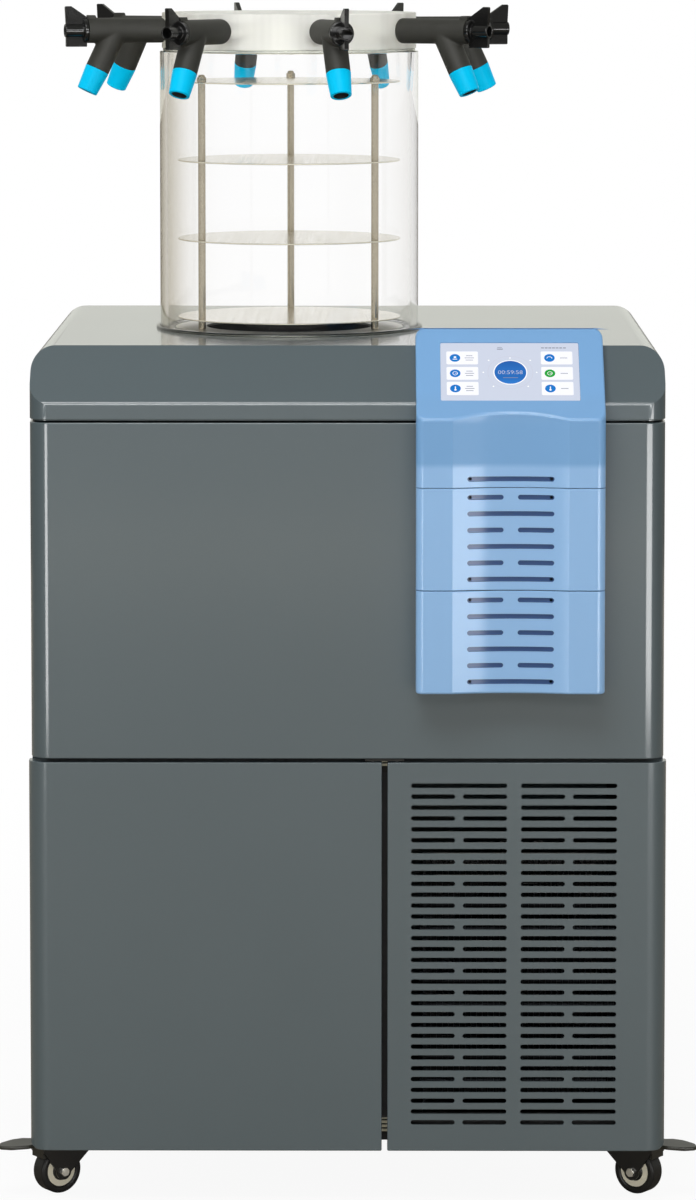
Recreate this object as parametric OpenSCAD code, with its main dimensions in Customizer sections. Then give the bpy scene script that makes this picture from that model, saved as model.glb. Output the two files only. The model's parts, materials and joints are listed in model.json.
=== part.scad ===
// Floor-standing freeze dryer: a wheeled cabinet with a sloped console, an acrylic drying chamber
// on its deck and eight flask valves round the chamber's head. X is right, Y is to the rear,
// Z is up, and the origin is on the floor below the middle of the whole object.

/* [Cabinet] */
// Width of the upper body
body_w = 680; // [600:10:820]
// Depth from the front panel to the rear panel
body_d = 630; // [560:10:760]
// Height of the deck above the floor
deck_z = 930; // [860:10:1120]
// How far the doors hang below the frame
door_drop = 4; // [0:0.5:4]
// Height of the seam between the doors and the upper front panel
split_z = 490; // [420:10:560]
// Thickness of the sheet metal
sheet_t = 2; // [1.2:0.2:3]
// Depth of the folded front panels
pan_d = 28; // [22:1:34]
// Radius of the upright front corners
corner_r = 22; // [10:1:22]

/* [Doors] */
// Place of the gap between the two doors, right of the middle
gap_x = 40; // [20:5:60]
// Width of the gap between the two doors
gap_w = 6; // [5:0.5:10]
// Height of the gap above the doors
door_top_gap = 4; // [3.6:0.2:6]
// How far each door stands wider than the upper body
door_lap = 3; // [0:0.5:4]
// Distance of each hinge pin from its door's edge
pin_inset = 10; // [10:0.5:12]
// Distance of each hinge pin behind the doors' outer face
pin_back = 8; // [7:0.5:8]
// Radius of the hinge pins
pin_r = 3; // [2:0.25:3.5]

/* [Louvres] */
// Height of each louvre slot
louvre_h = 5; // [3:0.5:6]
// Distance from one louvre row to the next
louvre_pitch = 11.85; // [10:0.05:16]
// Distance from the right door's hinge edge to its louvres
louvre_margin_in = 25.3; // [24:0.1:40]
// Distance from the louvres to the right door's outer edge
louvre_margin_out = 53.5; // [40:0.5:70]
// Distance between the two louvre columns
louvre_column_gap = 14.9; // [10:0.1:30]
// Distance between the halves of a split slot
louvre_split_gap = 8.4; // [6:0.1:14]
// Distance from the door's bottom edge to the lowest louvre row
louvre_margin_low = 31.6; // [26:0.2:60]
// Distance from the highest louvre row to the door's top edge
louvre_margin_top = 25; // [20:0.5:60]

/* [Top cover] */
// Height of the top cover, bottom edge to deck
lid_h = 75; // [60:1:90]
// Height of the top cover's upright front skirt
lid_skirt_h = 18; // [12:1:30]
// Depth of the top cover's slanted front
lid_slant_d = 60; // [40:1:80]
// Radius along the top cover's side edges
lid_edge_r = 25; // [12:1:30]
// Gap between the top cover and the panels below it
lid_gap = 3; // [2:0.5:5]
// Thickness of the top cover
lid_t = 3; // [2:0.5:4]

/* [Console] */
// Width of the console
console_w = 201; // [185:1:230]
// Distance from the console's right side to the cabinet's right side
console_margin = 66; // [40:1:90]
// How far the console stands out from the front panel
console_proud = 40; // [34:1:60]
// Drop from the deck to the console's front crease
console_crease_drop = 70; // [60:1:80]
// Slope of the screen face from level, in degrees
screen_slope = 41; // [38:1:46]
// Length of the screen face, up the slope
screen_face_l = 135; // [120:1:150]
// Width of the touch screen
screen_w = 148; // [120:1:160]
// Height of the touch screen, up the slope
screen_h = 85.6; // [70:0.2:95]
// Distance from the front crease to the touch screen
screen_start = 27.5; // [20:0.5:32]
// Height of the middle console cover
middle_cover_h = 109.8; // [105:0.1:140]
// Height of the lower console cover
lower_cover_h = 110.6; // [105:0.1:140]
// Drop from the front crease to the upper seam
upper_seam_drop = 73.6; // [70:0.1:90]
// Thickness of the console shell
console_t = 4; // [3:0.5:5]
// Radius of the console's front corners
console_r = 9; // [5:1:12]
// Width of the hollow in the console's front
scoop_w = 123.5; // [100:0.5:140]
// Depth of the hollow in the console's front
scoop_depth = 7.5; // [4:0.5:10]
// Length of a full console slot
vent_l = 92.3; // [70:0.1:100]
// Height of a console slot
vent_h = 5.3; // [3:0.1:7]
// Distance from one console slot to the next
vent_pitch = 17.5; // [14:0.1:18]
// Distance between the halves of a split console slot
vent_split_gap = 15.2; // [10:0.1:20]

/* [Drying chamber] */
// Place of the chamber's axis, right of the middle
chamber_x = -67; // [-90:1:-40]
// Distance from the front panel to the chamber's axis
chamber_back = 308; // [280:1:330]
// Outer radius of the acrylic cylinder
chamber_r = 145; // [135:1:160]
// Wall of the acrylic cylinder
chamber_wall = 8; // [5:0.5:10]
// Height of the acrylic cylinder
chamber_h = 309; // [250:1:400]
// How far the manifold head stands inside the cylinder's outside
head_inset = 2.5; // [1:0.5:4]
// Height of the manifold head
head_h = 40; // [34:1:50]
// Thickness of the manifold head's top
head_top_t = 12; // [8:1:12]
// Thickness of the manifold head's wall
head_wall = 38.5; // [30:0.5:45]
// Width of the deck gasket's foot
gasket_w = 14; // [13:0.5:20]
// Thickness of the deck gasket below the cylinder
gasket_t = 2; // [1.5:0.5:8]

/* [Shelves] */
// Gap between the shelf plates and the cylinder
shelf_gap = 12; // [8:0.5:20]
// Thickness of the shelf plates
shelf_t = 1.5; // [1:0.1:3]
// Number of shelf plates
shelf_count = 4; // [2:1:4]
// Distance from one shelf plate to the next
shelf_pitch = 88; // [50:1:88]
// Height of the lowest shelf plate above the trap's flange
shelf_start = 10.25; // [8:0.25:20]
// Distance from a shelf plate's edge to its rods
rod_inset = 15; // [12:0.5:20]
// Radius of the tie rods
rod_r = 3; // [2:0.5:3]
// Radius of the spacer tubes
spacer_r = 4; // [4:0.5:6]

/* [Valves] */
// Number of flask valves
valve_count = 8; // [8:1:8]
// Angle of the first valve from the X axis
valve_start = 15; // [10:1:35]
// Radius of a valve's body
valve_r = 14; // [12:0.5:15]
// Length of a valve's body from the head to its knob
valve_l = 88; // [80:1:110]
// Radius of the stem in the manifold head
stem_r = 9; // [7:0.5:10]
// Radius of the plug that each knob turns
plug_r = 8; // [6:0.5:9]
// Distance from the head to the branch
branch_at = 56; // [50:0.5:62]
// Length of the branch from the valve's axis
branch_l = 75; // [65:1:90]
// Tilt of the branch from plumb, in degrees
branch_tilt = 26; // [15:1:26]
// Length of the coloured outlet sleeve
sleeve_l = 27; // [24:1:32]
// Radius of the outlet's mouth
mouth_r = 8.25; // [7:0.25:8.25]
// Reach of the knob's long wing above the valve's axis
wing_up = 27; // [20:0.5:30]
// Reach of the knob's short wing below the valve's axis
wing_down = 18; // [14:0.5:22]
// Length of the knob
knob_l = 20.5; // [16:0.5:26]

/* [Cold trap] */
// Distance from the rods to the cold trap's pot
trap_inset = 15; // [12:0.5:24]
// Depth of the cold trap's pot
trap_depth = 290; // [200:5:300]
// Wall of the cold trap
trap_wall = 2; // [1.5:0.5:3]
// Gap between the cold trap's flange and the gasket
trap_flange_gap = 3; // [1:0.5:6]
// Radius of the coil's tube
coil_tube_r = 5; // [4:0.5:6]
// Distance from one turn of the coil to the next
coil_pitch = 26; // [18:1:40]

/* [Casters] */
// Radius of the caster wheels
wheel_r = 25; // [20:0.5:32]
// Width of the caster wheels
wheel_w = 21; // [18:0.5:22]
// Distance from the cabinet's side to a swivel axis
caster_side = 40; // [40:1:60]
// Distance from the front panel to the front swivel axes
caster_front = 80; // [80:1:110]
// Distance from the rear panel to the rear swivel axes
caster_rear = 70; // [60:1:100]
// Distance from the swivel axis to the wheel's axle
caster_trail = 22; // [16:1:24]
// Turn of the front casters from straight outwards, in degrees
caster_turn = 35; // [0:1:60]
// Distance from a front swivel axis to its brake pedal's tip
pedal_reach = 95; // [84:0.5:110]
// Height from the wheel's top to the caster's top plate
caster_rise = 13; // [12:0.5:20]

/* [Hidden] */
$fn = 48;
// Fits and gaps
running_gap = 0.05;
seam_gap = 0.8;
rest_gap = 0.3;
free_gap = 1.5;
cut = 1;

// Casters, from the floor up
plate_t = 3;
frame_z = 2 * wheel_r + caster_rise + plate_t;
door_z = frame_z - door_drop;

// Planes of the cabinet
rear_proud = 10;
total_d = body_d + console_proud + rear_proud;
front_y = -total_d / 2 + console_proud;
rear_y = total_d / 2 - rear_proud;
side_x = body_w / 2;
panel_top = deck_z - lid_h - lid_gap;
lid_z = deck_z - lid_h;
wrap_y = front_y + pan_d + 3;
panel_y = wrap_y + 1;
flange_w = 15;
rear_vent = [90, 5];
rear_vent_gap = 12;
rear_vent_pitch = 14;
rear_vent_rows = 12;
rear_vent_rise = 130;

// Doors
door_h = split_z - door_top_gap - door_z;
left_door_w = side_x + door_lap + gap_x - gap_w / 2;
right_door_w = side_x + door_lap - gap_x - gap_w / 2;
door_corner_r = 9;
pin_x = gap_w / 2 + pin_inset;
pin_y = front_y + pin_back;
arm_r = pin_back - sheet_t - free_gap + 0.5;
notch_z = 10;
notch_h = 22;
arm_h = 16;
block_w = 18;
block_d = 14;
top_pin_l = 15;
low_pin_l = 8;
top_plate_t = 2;
top_plate_z = door_z + door_h + 1.2;
top_plate_w = 2 * pin_x + 16;
top_plate_front = pin_y - 5;

// Louvres
louvre_l = (right_door_w - louvre_margin_in - louvre_margin_out - louvre_column_gap) / 2;
louvre_rows = floor((door_h - louvre_margin_low - louvre_margin_top) / louvre_pitch) + 1;

// Frame of angle steel
angle_w = 30;
angle_t = 3;
frame_front = wrap_y + 3;
frame_rear = rear_y - sheet_t;
frame_side = side_x - sheet_t;
frame_top = panel_top + 1;
corner_plate = [100, 120];
post_w = 44;
rail_z = split_z - 20;
deck_rail_at = 130;
deck_rail_x = frame_side - angle_w + angle_t;

// Chamber, from its wall inwards
head_r = chamber_r - head_inset;
head_hollow_r = head_r - head_wall;
shelf_r = chamber_r - chamber_wall - shelf_gap;
rod_circle_r = shelf_r - rod_inset;
trap_r = rod_circle_r - trap_inset;
trap_flange_r = chamber_r - gasket_w - trap_flange_gap;

// Top cover
slant_h = lid_h - lid_skirt_h;
slant_a = atan2(slant_h, lid_slant_d);
lid_front_r = 20;
lid_rear_r = 8;
deck_hole_r = trap_r + 3;

// Console
console_x = side_x - console_margin - console_w / 2;
console_y = front_y - console_proud;
crease_z = deck_z - console_crease_drop;
upper_seam_z = crease_z - upper_seam_drop;
lower_seam_z = upper_seam_z - middle_cover_h;
console_z = lower_seam_z - lower_cover_h;
console_back = front_y - rest_gap;
console_edge_t = 14;
console_top_r = 11;
scoop_r = (pow(scoop_w / 2, 2) + pow(scoop_depth, 2)) / (2 * scoop_depth);
screen_t = 9.4;
screen_drop = 0.6;
vent_margin = 10.3;
groove_floor_t = 1.2;
groove_depth = console_t - groove_floor_t;
fixing_hole_r = 1.7;
fixing_hole_in = 3;
vent_rows = 6;
shell_vent_z = upper_seam_z + vent_margin - 1;
console_room = 200;
console_back_room = 60;
cable_hole_r = 20;

// Chamber
chamber_y = front_y + chamber_back;
chamber_z = deck_z + gasket_t;
chamber_top = chamber_z + chamber_h;
seal_t = 3;
seal_w = chamber_wall + 2;
head_z = chamber_top + seal_t;
valve_z = head_z + 20.6;
gasket_lip = 1.5;
gasket_lip_t = 4.2;
flange_t = 2;
flange_z = deck_z + flange_t;

// Shelves
shelf_z = flange_z + shelf_start;
nut_r = 5;
nut_h = 5;
top_shelf_z = shelf_z + (shelf_count - 1) * shelf_pitch + shelf_t;
rod_angles = [90, 210, 330];

// Valves
knob_flange_r = 13.5;
knob_flange_t = 4.7;
knob_gap = 0.3;
hub_r = 7.5;
hub_bore_r = 5.5;
vane_t = 5;
plug_l = 36;
lug_w = 10;
lug_l = 10;
lug_rise = 3;
stub_r = 10;
stub_l = sleeve_l - 12;
branch_end_r = valve_r - 0.5;
sleeve_top_r = valve_r - 0.4;
sleeve_end_r = valve_r - 2.5;

// Cold trap, its pipes and the pump
port_at = 50;
port_l = 30;
vacuum_port_r = 13;
drain_port_r = 7;
pipe_wall = 2;
trap_z = deck_z - trap_depth;
coil_r = trap_r - trap_wall - coil_tube_r - 5;
coil_z = trap_z + 24;
coil_turns = floor((trap_depth - 60) / coil_pitch);
coil_steps = 20;
coil_sides = 8;
floor_z = frame_z + angle_t + sheet_t;
pump_x = chamber_x - port_at;
pump_case = [130, 170, 180];
pump_foot_h = 18;
pump_base_t = 8;
pump_case_z = floor_z + pump_foot_h + pump_base_t;
pump_front = chamber_y - 138;
pump_port_l = 50;
pump_case_r = 14;
sight_glass_r = 14;
handle_w = 16;
handle_at = [20, 80];
handle_post_d = 12;
handle_rise = 24;
motor_rise = 16;
fin_ring_pitch = 15;
fin_ring_t = 4;
terminal_box = [70, 70, 36];
saddle = [60, 90, 30];
foot_r = 11;
pump_port_z = pump_case_z + pump_case[2] + pump_port_l;
motor_r = 64;
motor_l = 180;
bellows_r = 18;
bellows_pitch = 7;
drain_x = chamber_x + port_at;
drain_z = floor_z + 50;
drain_bend_r = 24;
drain_r = 6;
drain_bore_r = 4;
spout_r = 7.5;

// Refrigeration
bay_x = (gap_x + post_w / 2 + frame_side) / 2;
condenser = [236, 34, 270];
condenser_y = frame_front + 24;
condenser_z = floor_z + 30;
fin_count = 36;
fin_t = 0.6;
side_plate_t = 3;
tube_rows = 9;
tube_pitch = 28;
tube_r = 4.5;
tube_y = [10, 24];
fan_r = 100;
fan_y = condenser_y + condenser[1];
fan_z = condenser_z + condenser[2] / 2;
duct_l = 46;
fan_motor_r = 34;
fan_motor_l = 44;
fan_shaft_r = 4;
fan_blades = 5;
fan_hub_r = 28;
fan_hub_t = 22;
blade_pitch_angle = 28;
shroud_gap = 6;
fan_arm = [fan_r - fan_motor_r + 8, 8, 7];
compressor_r = 78;
compressor_h = 200;
compressor_dome = 30;
compressor_plate = [180, 152, 4];
start_box = [48, 30, 60];
compressor_y = chamber_y + 90;

// Power inlet on the rear panel
inlet_x = bay_x + 60;
inlet_z = floor_z + 70;
inlet = [58, 3, 34];
inlet_body = [inlet[0] - 10, 28, inlet[2] - 6];
socket_x = -11;
socket = [22, 18, 16];
blade = [2, 16, 4];
blade_pitch = 7;
switch_x = 13;
switch_room = 18;
switch_w = 13.4;
switch_r = 11.6;
switch_seat_r = 12;
switch_deep = 6;
switch_pin_r = 1.5;
switch_travel = 16;

// Casters
axle_r = 4;
race_t = 2.6;
kingpin_r = 6;
crown_t = 4;
crown_r = 22;
plate_w = 60;
bolt_at = 22;
bolt_hole_r = 3.2;
race_r = 20;
axle_nut_r = 5.2;
axle_nut_t = 3.8;
crown_top = frame_z - plate_t - race_t - 0.4;
crown_z = crown_top - crown_t;
leg_in = wheel_w / 2 + 1.5;
leg_t = 3;
pedal_x = caster_trail + 20;
pedal_z = crown_z - 4;
pedal_pin_r = 2.5;
pedal_hub_r = 5;
pedal_t = 4;
pedal_rise = 5;
pedal_half_w = 18;
wheel_shoulder_r = 3;
wheel_recess_in = 9;
wheel_recess_out = 18;
wheel_recess_t = 2;
caster_xy = [
    [-side_x + caster_side, front_y + caster_front],
    [side_x - caster_side, front_y + caster_front],
    [-side_x + caster_side, rear_y - caster_rear],
    [side_x - caster_side, rear_y - caster_rear]
];
caster_angles = [180 + caster_turn, -caster_turn, 110, 70];

// ---- Shared shapes ----

// A slot outline with round ends, centred
module slot_outline(l, h) {
    square([l - h, h], center = true);
    for (s = [-1, 1])
        translate([s * (l - h) / 2, 0])
            circle(h / 2);
}

// A prism pushed along Y from the outline drawn in X and Z
module along_y(y, l) {
    translate([0, y + l, 0])
        rotate([90, 0, 0])
            linear_extrude(l)
                children();
}

// A prism pushed along X from the outline drawn in Y and Z
module along_x(x, l) {
    translate([x, 0, 0])
        rotate([90, 0, 90])
            linear_extrude(l)
                children();
}

// A tube standing on z
module tube(r_out, r_in, h) {
    difference() {
        cylinder(r = r_out, h = h);
        translate([0, 0, -cut])
            cylinder(r = r_in, h = h + 2 * cut);
    }
}

// A rectangle from corner to corner with its own radius at each corner, in the order
// low left, low right, high right, high left; 0 leaves a corner square
module cornered(x0, y0, x1, y1, radii) {
    difference() {
        translate([x0, y0])
            square([x1 - x0, y1 - y0]);
        for (k = [0:3])
            if (radii[k] > 0)
                corner_waste(k == 0 || k == 3 ? x0 : x1, k < 2 ? y0 : y1, radii[k],
                    k == 0 || k == 3 ? 1 : -1, k < 2 ? 1 : -1);
    }
}

// What a radius takes off a square corner
module corner_waste(x, y, r, sx, sy) {
    difference() {
        translate([sx > 0 ? x - cut : x - r, sy > 0 ? y - cut : y - r])
            square([r + cut, r + cut]);
        translate([x + sx * r, y + sy * r])
            circle(r);
    }
}

// A folded sheet pan, open at its rear, from its hinge edge at x = 0 to its outer edge at x = w
module pan(w, d, h, r_in, r_out, low_r) {
    difference() {
        pan_form(w, d, h, r_in, r_out, low_r, 0);
        pan_form(w, d, h, r_in, r_out, low_r, sheet_t);
    }
}

module pan_form(w, d, h, r_in, r_out, low_r, t) {
    far = t > 0 ? d + cut : d;
    intersection() {
        translate([0, 0, t])
            linear_extrude(h - 2 * t)
                cornered(t, t, w - t, far, [max(r_in - t, 0), max(r_out - t, 0), 0, 0]);
        along_y(t, far - t)
            cornered(t, t, w - t, h - t, [0, max(low_r - t, 0), 0, 0]);
    }
}

// ---- Frame and panels ----

// One angle-steel bar along X, its corner at the origin, legs towards +Y and sz * Z
module angle_x(l, sy, sz) {
    translate([0, sy > 0 ? 0 : -angle_w, sz > 0 ? 0 : -angle_t])
        cube([l, angle_w, angle_t]);
    translate([0, sy > 0 ? 0 : -angle_t, sz > 0 ? 0 : -angle_w])
        cube([l, angle_t, angle_w]);
}

module angle_y(l, sx, sz) {
    translate([sx > 0 ? 0 : -angle_w, 0, sz > 0 ? 0 : -angle_t])
        cube([angle_w, l, angle_t]);
    translate([sx > 0 ? 0 : -angle_t, 0, sz > 0 ? 0 : -angle_w])
        cube([angle_t, l, angle_w]);
}

module angle_z(l, sx, sy) {
    translate([sx > 0 ? 0 : -angle_w, sy > 0 ? 0 : -angle_t, 0])
        cube([angle_w, angle_t, l]);
    translate([sx > 0 ? 0 : -angle_t, sy > 0 ? 0 : -angle_w, 0])
        cube([angle_t, angle_w, l]);
}

module frame_ring(z, sz) {
    for (y = [frame_front, frame_rear])
        translate([-frame_side, y, z])
            angle_x(2 * frame_side, y < 0 ? 1 : -1, sz);
    for (x = [-frame_side, frame_side])
        translate([x, frame_front, z])
            angle_y(frame_rear - frame_front, x < 0 ? 1 : -1, sz);
}

module base_frame() color("dimgray") {
    frame_ring(frame_z, 1);
    frame_ring(frame_top, -1);
    // Corner posts and the plates that the casters bolt to
    for (x = [-frame_side, frame_side])
        for (y = [frame_front, frame_rear]) {
            translate([x, y, frame_z])
                angle_z(frame_top - frame_z, x < 0 ? 1 : -1, y < 0 ? 1 : -1);
            translate([x < 0 ? x : x - corner_plate[0], y < 0 ? y : y - corner_plate[1], frame_z])
                cube([corner_plate[0], corner_plate[1], angle_t]);
        }
    // Floor pan on the lower ring
    translate([-frame_side + angle_t, frame_front + angle_t, frame_z + angle_t])
        cube([2 * (frame_side - angle_t), frame_rear - frame_front - 2 * angle_t, sheet_t]);
    // Rail behind the seam and the centre post that carries the hinges
    translate([-frame_side, frame_front, rail_z])
        cube([2 * frame_side, angle_t, angle_w]);
    translate([gap_x - post_w / 2, frame_front, frame_z])
        cube([post_w, angle_t, rail_z - frame_z + cut]);
    for (s = [-1, 1])
        translate([gap_x + s * (post_w / 2 - angle_t / 2) - angle_t / 2, frame_front, frame_z])
            cube([angle_t, angle_w, rail_z - frame_z + cut]);
    // Two rails under the deck, each on two end plates
    for (s = [-1, 1])
        translate([0, chamber_y + s * deck_rail_at, 0]) {
            translate([-deck_rail_x, 0, deck_z - lid_t])
                angle_x(2 * deck_rail_x, -s, -1);
            for (e = [-1, 1])
                translate([
                    e * deck_rail_x - (e > 0 ? angle_t : 0), s > 0 ? -angle_w : 0, frame_top - angle_t
                ])
                    cube([angle_t, angle_w, deck_z - lid_t - frame_top + angle_t]);
        }
}

module side_panel() {
    h = panel_top - frame_z;
    translate([-side_x, panel_y, frame_z])
        cube([sheet_t, rear_y - panel_y, h]);
    translate([-side_x, panel_y, frame_z])
        cube([flange_w, sheet_t, h]);
    translate([-side_x, rear_y - sheet_t, frame_z])
        cube([flange_w, sheet_t, h]);
}

module left_side_panel() color("slategray")
    side_panel();

module right_side_panel() color("slategray")
    mirror([1, 0, 0])
        side_panel();

module rear_panel() color("slategray") {
    w = side_x - flange_w - seam_gap;
    difference() {
        translate([-w, rear_y - sheet_t, frame_z])
            cube([2 * w, sheet_t, panel_top - frame_z]);
        // Exhaust slots above the fan
        for (k = [0:rear_vent_rows - 1])
            for (s = [-1, 1])
                translate([
                    bay_x + s * (rear_vent[0] + rear_vent_gap) / 2,
                    0,
                    fan_z + rear_vent_rise + k * rear_vent_pitch
                ])
                    along_y(rear_y - sheet_t - cut, sheet_t + 2 * cut)
                        slot_outline(rear_vent[0], rear_vent[1]);
        // Power inlet and drain
        translate([inlet_x, rear_y - sheet_t / 2, inlet_z])
            cube([
                inlet_body[0] + 2 * rest_gap, sheet_t + 2 * cut, inlet_body[2] + 2 * rest_gap
            ], center = true);
        translate([drain_x, rear_y + cut, drain_z])
            rotate([90, 0, 0])
                cylinder(r = drain_r + rest_gap, h = sheet_t + 2 * cut);
    }
}

module upper_front_panel() color("slategray") {
    difference() {
        translate([-side_x, front_y, split_z])
            pan(2 * side_x, wrap_y - front_y, panel_top - split_z, corner_r, corner_r, 0);
        // Cable hole behind the console
        translate([console_x, front_y - cut, lower_seam_z])
            rotate([-90, 0, 0])
                cylinder(r = cable_hole_r, h = sheet_t + 2 * cut);
    }
}

// ---- Top cover ----

// Where the front skirt meets the slant, and where the slant meets the deck, on a cover
// that is t smaller all round; each is [y, z]
function skirt_corner(t) = [
    front_y + t,
    lid_z + lid_skirt_h + t * (1 - sin(slant_a)) * tan(slant_a) - t * cos(slant_a)
];
function deck_corner(t) = [
    front_y + lid_slant_d + t * sin(slant_a) - t * (1 - cos(slant_a)) / tan(slant_a),
    deck_z - t
];

module lid_form(t) {
    low = t > 0 ? lid_z - cut : lid_z;
    w = side_x - t;
    y0 = front_y + t;
    y1 = rear_y - t;
    intersection() {
        translate([0, 0, low])
            linear_extrude(deck_z - t - low)
                cornered(-w, y0, w, y1, [lid_front_r, lid_front_r, lid_rear_r, lid_rear_r]);
        along_x(-w, 2 * w)
            polygon([
                [y0, low], skirt_corner(t), deck_corner(t), [y1, deck_z - t], [y1, low]
            ]);
        along_y(y0, y1 - y0)
            cornered(-w, low, w, deck_z - t, [0, 0, lid_edge_r, lid_edge_r]);
    }
}

module top_cover() color("lightslategray")
    difference() {
        lid_form(0);
        lid_form(lid_t);
        translate([chamber_x, chamber_y, deck_z - lid_t - cut])
            cylinder(r = deck_hole_r, h = lid_t + 2 * cut);
    }

// ---- Doors and hinges ----

// A door drawn from its hinge edge at x = 0 outwards, its front at y = 0 and its bottom at z = 0
module door(w) {
    difference() {
        union() {
            pan(w, pan_d, door_h, 0, corner_r, door_corner_r);
            hinge_block(sheet_t, notch_z - sheet_t);
            hinge_block(notch_z + notch_h, notch_z);
            hinge_block(door_h - sheet_t - top_pin_l, top_pin_l);
        }
        // Notch for the hinge arm, open at the side and the rear
        translate([-cut, sheet_t, notch_z])
            cube([block_w + cut, pan_d, notch_h]);
        for (z = [notch_z - low_pin_l + sheet_t, door_h - top_pin_l])
            translate([pin_inset, pin_back, z - cut])
                cylinder(r = pin_r + running_gap, h = 2 * top_pin_l + notch_h);
    }
}

module hinge_block(z, h) {
    translate([sheet_t - 0.5, sheet_t - 0.5, z])
        cube([block_w - sheet_t, block_d, h]);
}

module left_door() color("slategray")
    translate([gap_x - gap_w / 2, front_y, door_z])
        mirror([1, 0, 0])
            door(left_door_w);

module right_door() color("slategray")
    translate([gap_x + gap_w / 2, front_y, door_z])
        difference() {
            door(right_door_w);
            louvres();
        }

// Rows of slots in two columns; every second row is split
module louvres() {
    for (row = [0:louvre_rows - 1])
        for (column = [0, 1])
            translate([
                louvre_margin_in + louvre_l / 2 + column * (louvre_l + louvre_column_gap),
                0,
                louvre_margin_low + row * louvre_pitch
            ])
                along_y(-cut, sheet_t + 2 * cut)
                    split_slot(louvre_l, louvre_h, louvre_split_gap, row % 2 == 0);
}

// One full slot, or two halves with a bridge between them
module split_slot(l, h, bridge, split) {
    half = (l - bridge) / 2;
    if (split)
        for (s = [-1, 1])
            translate([s * (half + bridge) / 2, 0])
                slot_outline(half, h);
    else
        slot_outline(l, h);
}

module hinge_brackets() color("silver") {
    low_z = door_z + notch_z + (notch_h - arm_h) / 2;
    // Lower bracket: back plate, two arms and two pins
    translate([gap_x - post_w / 2, frame_front - angle_t, low_z])
        cube([post_w, angle_t, arm_h]);
    for (s = [-1, 1])
        translate([gap_x + s * pin_x, pin_y, 0]) {
            translate([-arm_r, 0, low_z])
                cube([2 * arm_r, frame_front - pin_y, arm_h]);
            translate([0, 0, low_z])
                cylinder(r = arm_r, h = arm_h);
            translate([0, 0, door_z + notch_z - low_pin_l + sheet_t])
                cylinder(r = pin_r, h = notch_h + 2 * (low_pin_l - sheet_t));
        }
    // Upper bracket: a plate in the seam above the doors with two pins
    translate([gap_x - top_plate_w / 2, top_plate_front, top_plate_z])
        cube([top_plate_w, frame_front - top_plate_front, top_plate_t]);
    translate([gap_x - top_plate_w / 2, frame_front - top_plate_t, rail_z])
        cube([top_plate_w, top_plate_t, top_plate_z - rail_z + top_plate_t]);
    for (s = [-1, 1])
        translate([gap_x + s * pin_x, pin_y, door_z + door_h - top_pin_l + 1])
            cylinder(r = pin_r, h = top_plate_z - door_z - door_h + top_pin_l);
}

// ---- Console ----

// The console seen from above, t smaller than its outside, from the front back to y1
module console_plan(t, y1) {
    x0 = console_x - console_w / 2 + t;
    x1 = console_x + console_w / 2 - t;
    difference() {
        cornered(x0, console_y + t, x1, y1, [console_r - t, console_r - t, 0, 0]);
        translate([console_x, console_y + scoop_depth - scoop_r])
            circle(scoop_r + t, $fn = 180);
    }
}

// One cover of the console between two heights, with its floor at low_t
module console_cover(z0, z1, low_t) {
    difference() {
        translate([0, 0, z0])
            linear_extrude(z1 - z0)
                console_plan(0, console_back);
        translate([0, 0, z0 + (low_t > 0 ? low_t : -cut)])
            linear_extrude(z1 - z0 + 2 * cut)
                console_plan(console_t, console_back + cut);
    }
}

// Grooves in a console cover, counted down from the seam above them, and the fixing holes
// at the far ends of the first and the last groove
module console_grooves(top_z) {
    low_z = top_z - vent_margin - (vent_rows - 1) * vent_pitch;
    groove_cut(low_z - vent_h, top_z)
        for (row = [0:vent_rows - 1])
            translate([console_x, 0, top_z - vent_margin - row * vent_pitch])
                along_y(console_y - cut, console_proud / 2)
                    split_slot(vent_l, vent_h, vent_split_gap, row % 2 == 0);
    fixing_holes(top_z - vent_margin);
    fixing_holes(low_z);
}

// Keeps only the part of the children that lies in the console's wall, down to the groove's floor
module groove_cut(z0, z1) {
    difference() {
        children();
        translate([0, 0, z0])
            linear_extrude(z1 - z0)
                console_plan(groove_depth, front_y);
    }
}

module fixing_holes(z) {
    for (s = [-1, 1])
        translate([console_x + s * (vent_l / 2 - fixing_hole_in), 0, z])
            along_y(console_y - cut, console_proud / 2)
                circle(fixing_hole_r);
}

// The corners of the console's side, t smaller than its outside
function slope_point(along, down) = [
    console_y + along * cos(screen_slope) + down * sin(screen_slope),
    crease_z + along * sin(screen_slope) - down * cos(screen_slope)
];
function front_crease(t) = [
    console_y + t,
    crease_z - t * (1 - sin(screen_slope)) / cos(screen_slope)
];

module shell_side(t) {
    low = upper_seam_z + seam_gap / 2;
    if (t > 0)
        polygon([
            [console_y + t, low - cut], front_crease(t), slope_point(screen_face_l - t, t),
            slope_point(screen_face_l - t, console_back_room), [front_y + console_proud, low - cut]
        ]);
    else
        polygon([
            [console_back, low], [console_y, low], front_crease(0),
            slope_point(screen_face_l, 0), slope_point(screen_face_l, console_edge_t),
            [slope_point(screen_face_l, console_edge_t)[0], deck_z + rest_gap],
            deck_corner(-rest_gap), skirt_corner(-rest_gap)
        ]);
}

module console_shell() color("cornflowerblue")
    difference() {
        shell_form(0);
        shell_form(console_t);
        screen_place()
            translate([-screen_w / 2 - rest_gap, screen_start - rest_gap, -console_t - cut])
                cube([screen_w + 2 * rest_gap, screen_h + 2 * rest_gap, console_t + 2 * cut]);
        groove_cut(upper_seam_z, crease_z)
            translate([console_x, 0, shell_vent_z])
                along_y(console_y - cut, console_proud / 2)
                    slot_outline(vent_l, vent_h);
        fixing_holes(shell_vent_z);
    }

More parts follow.
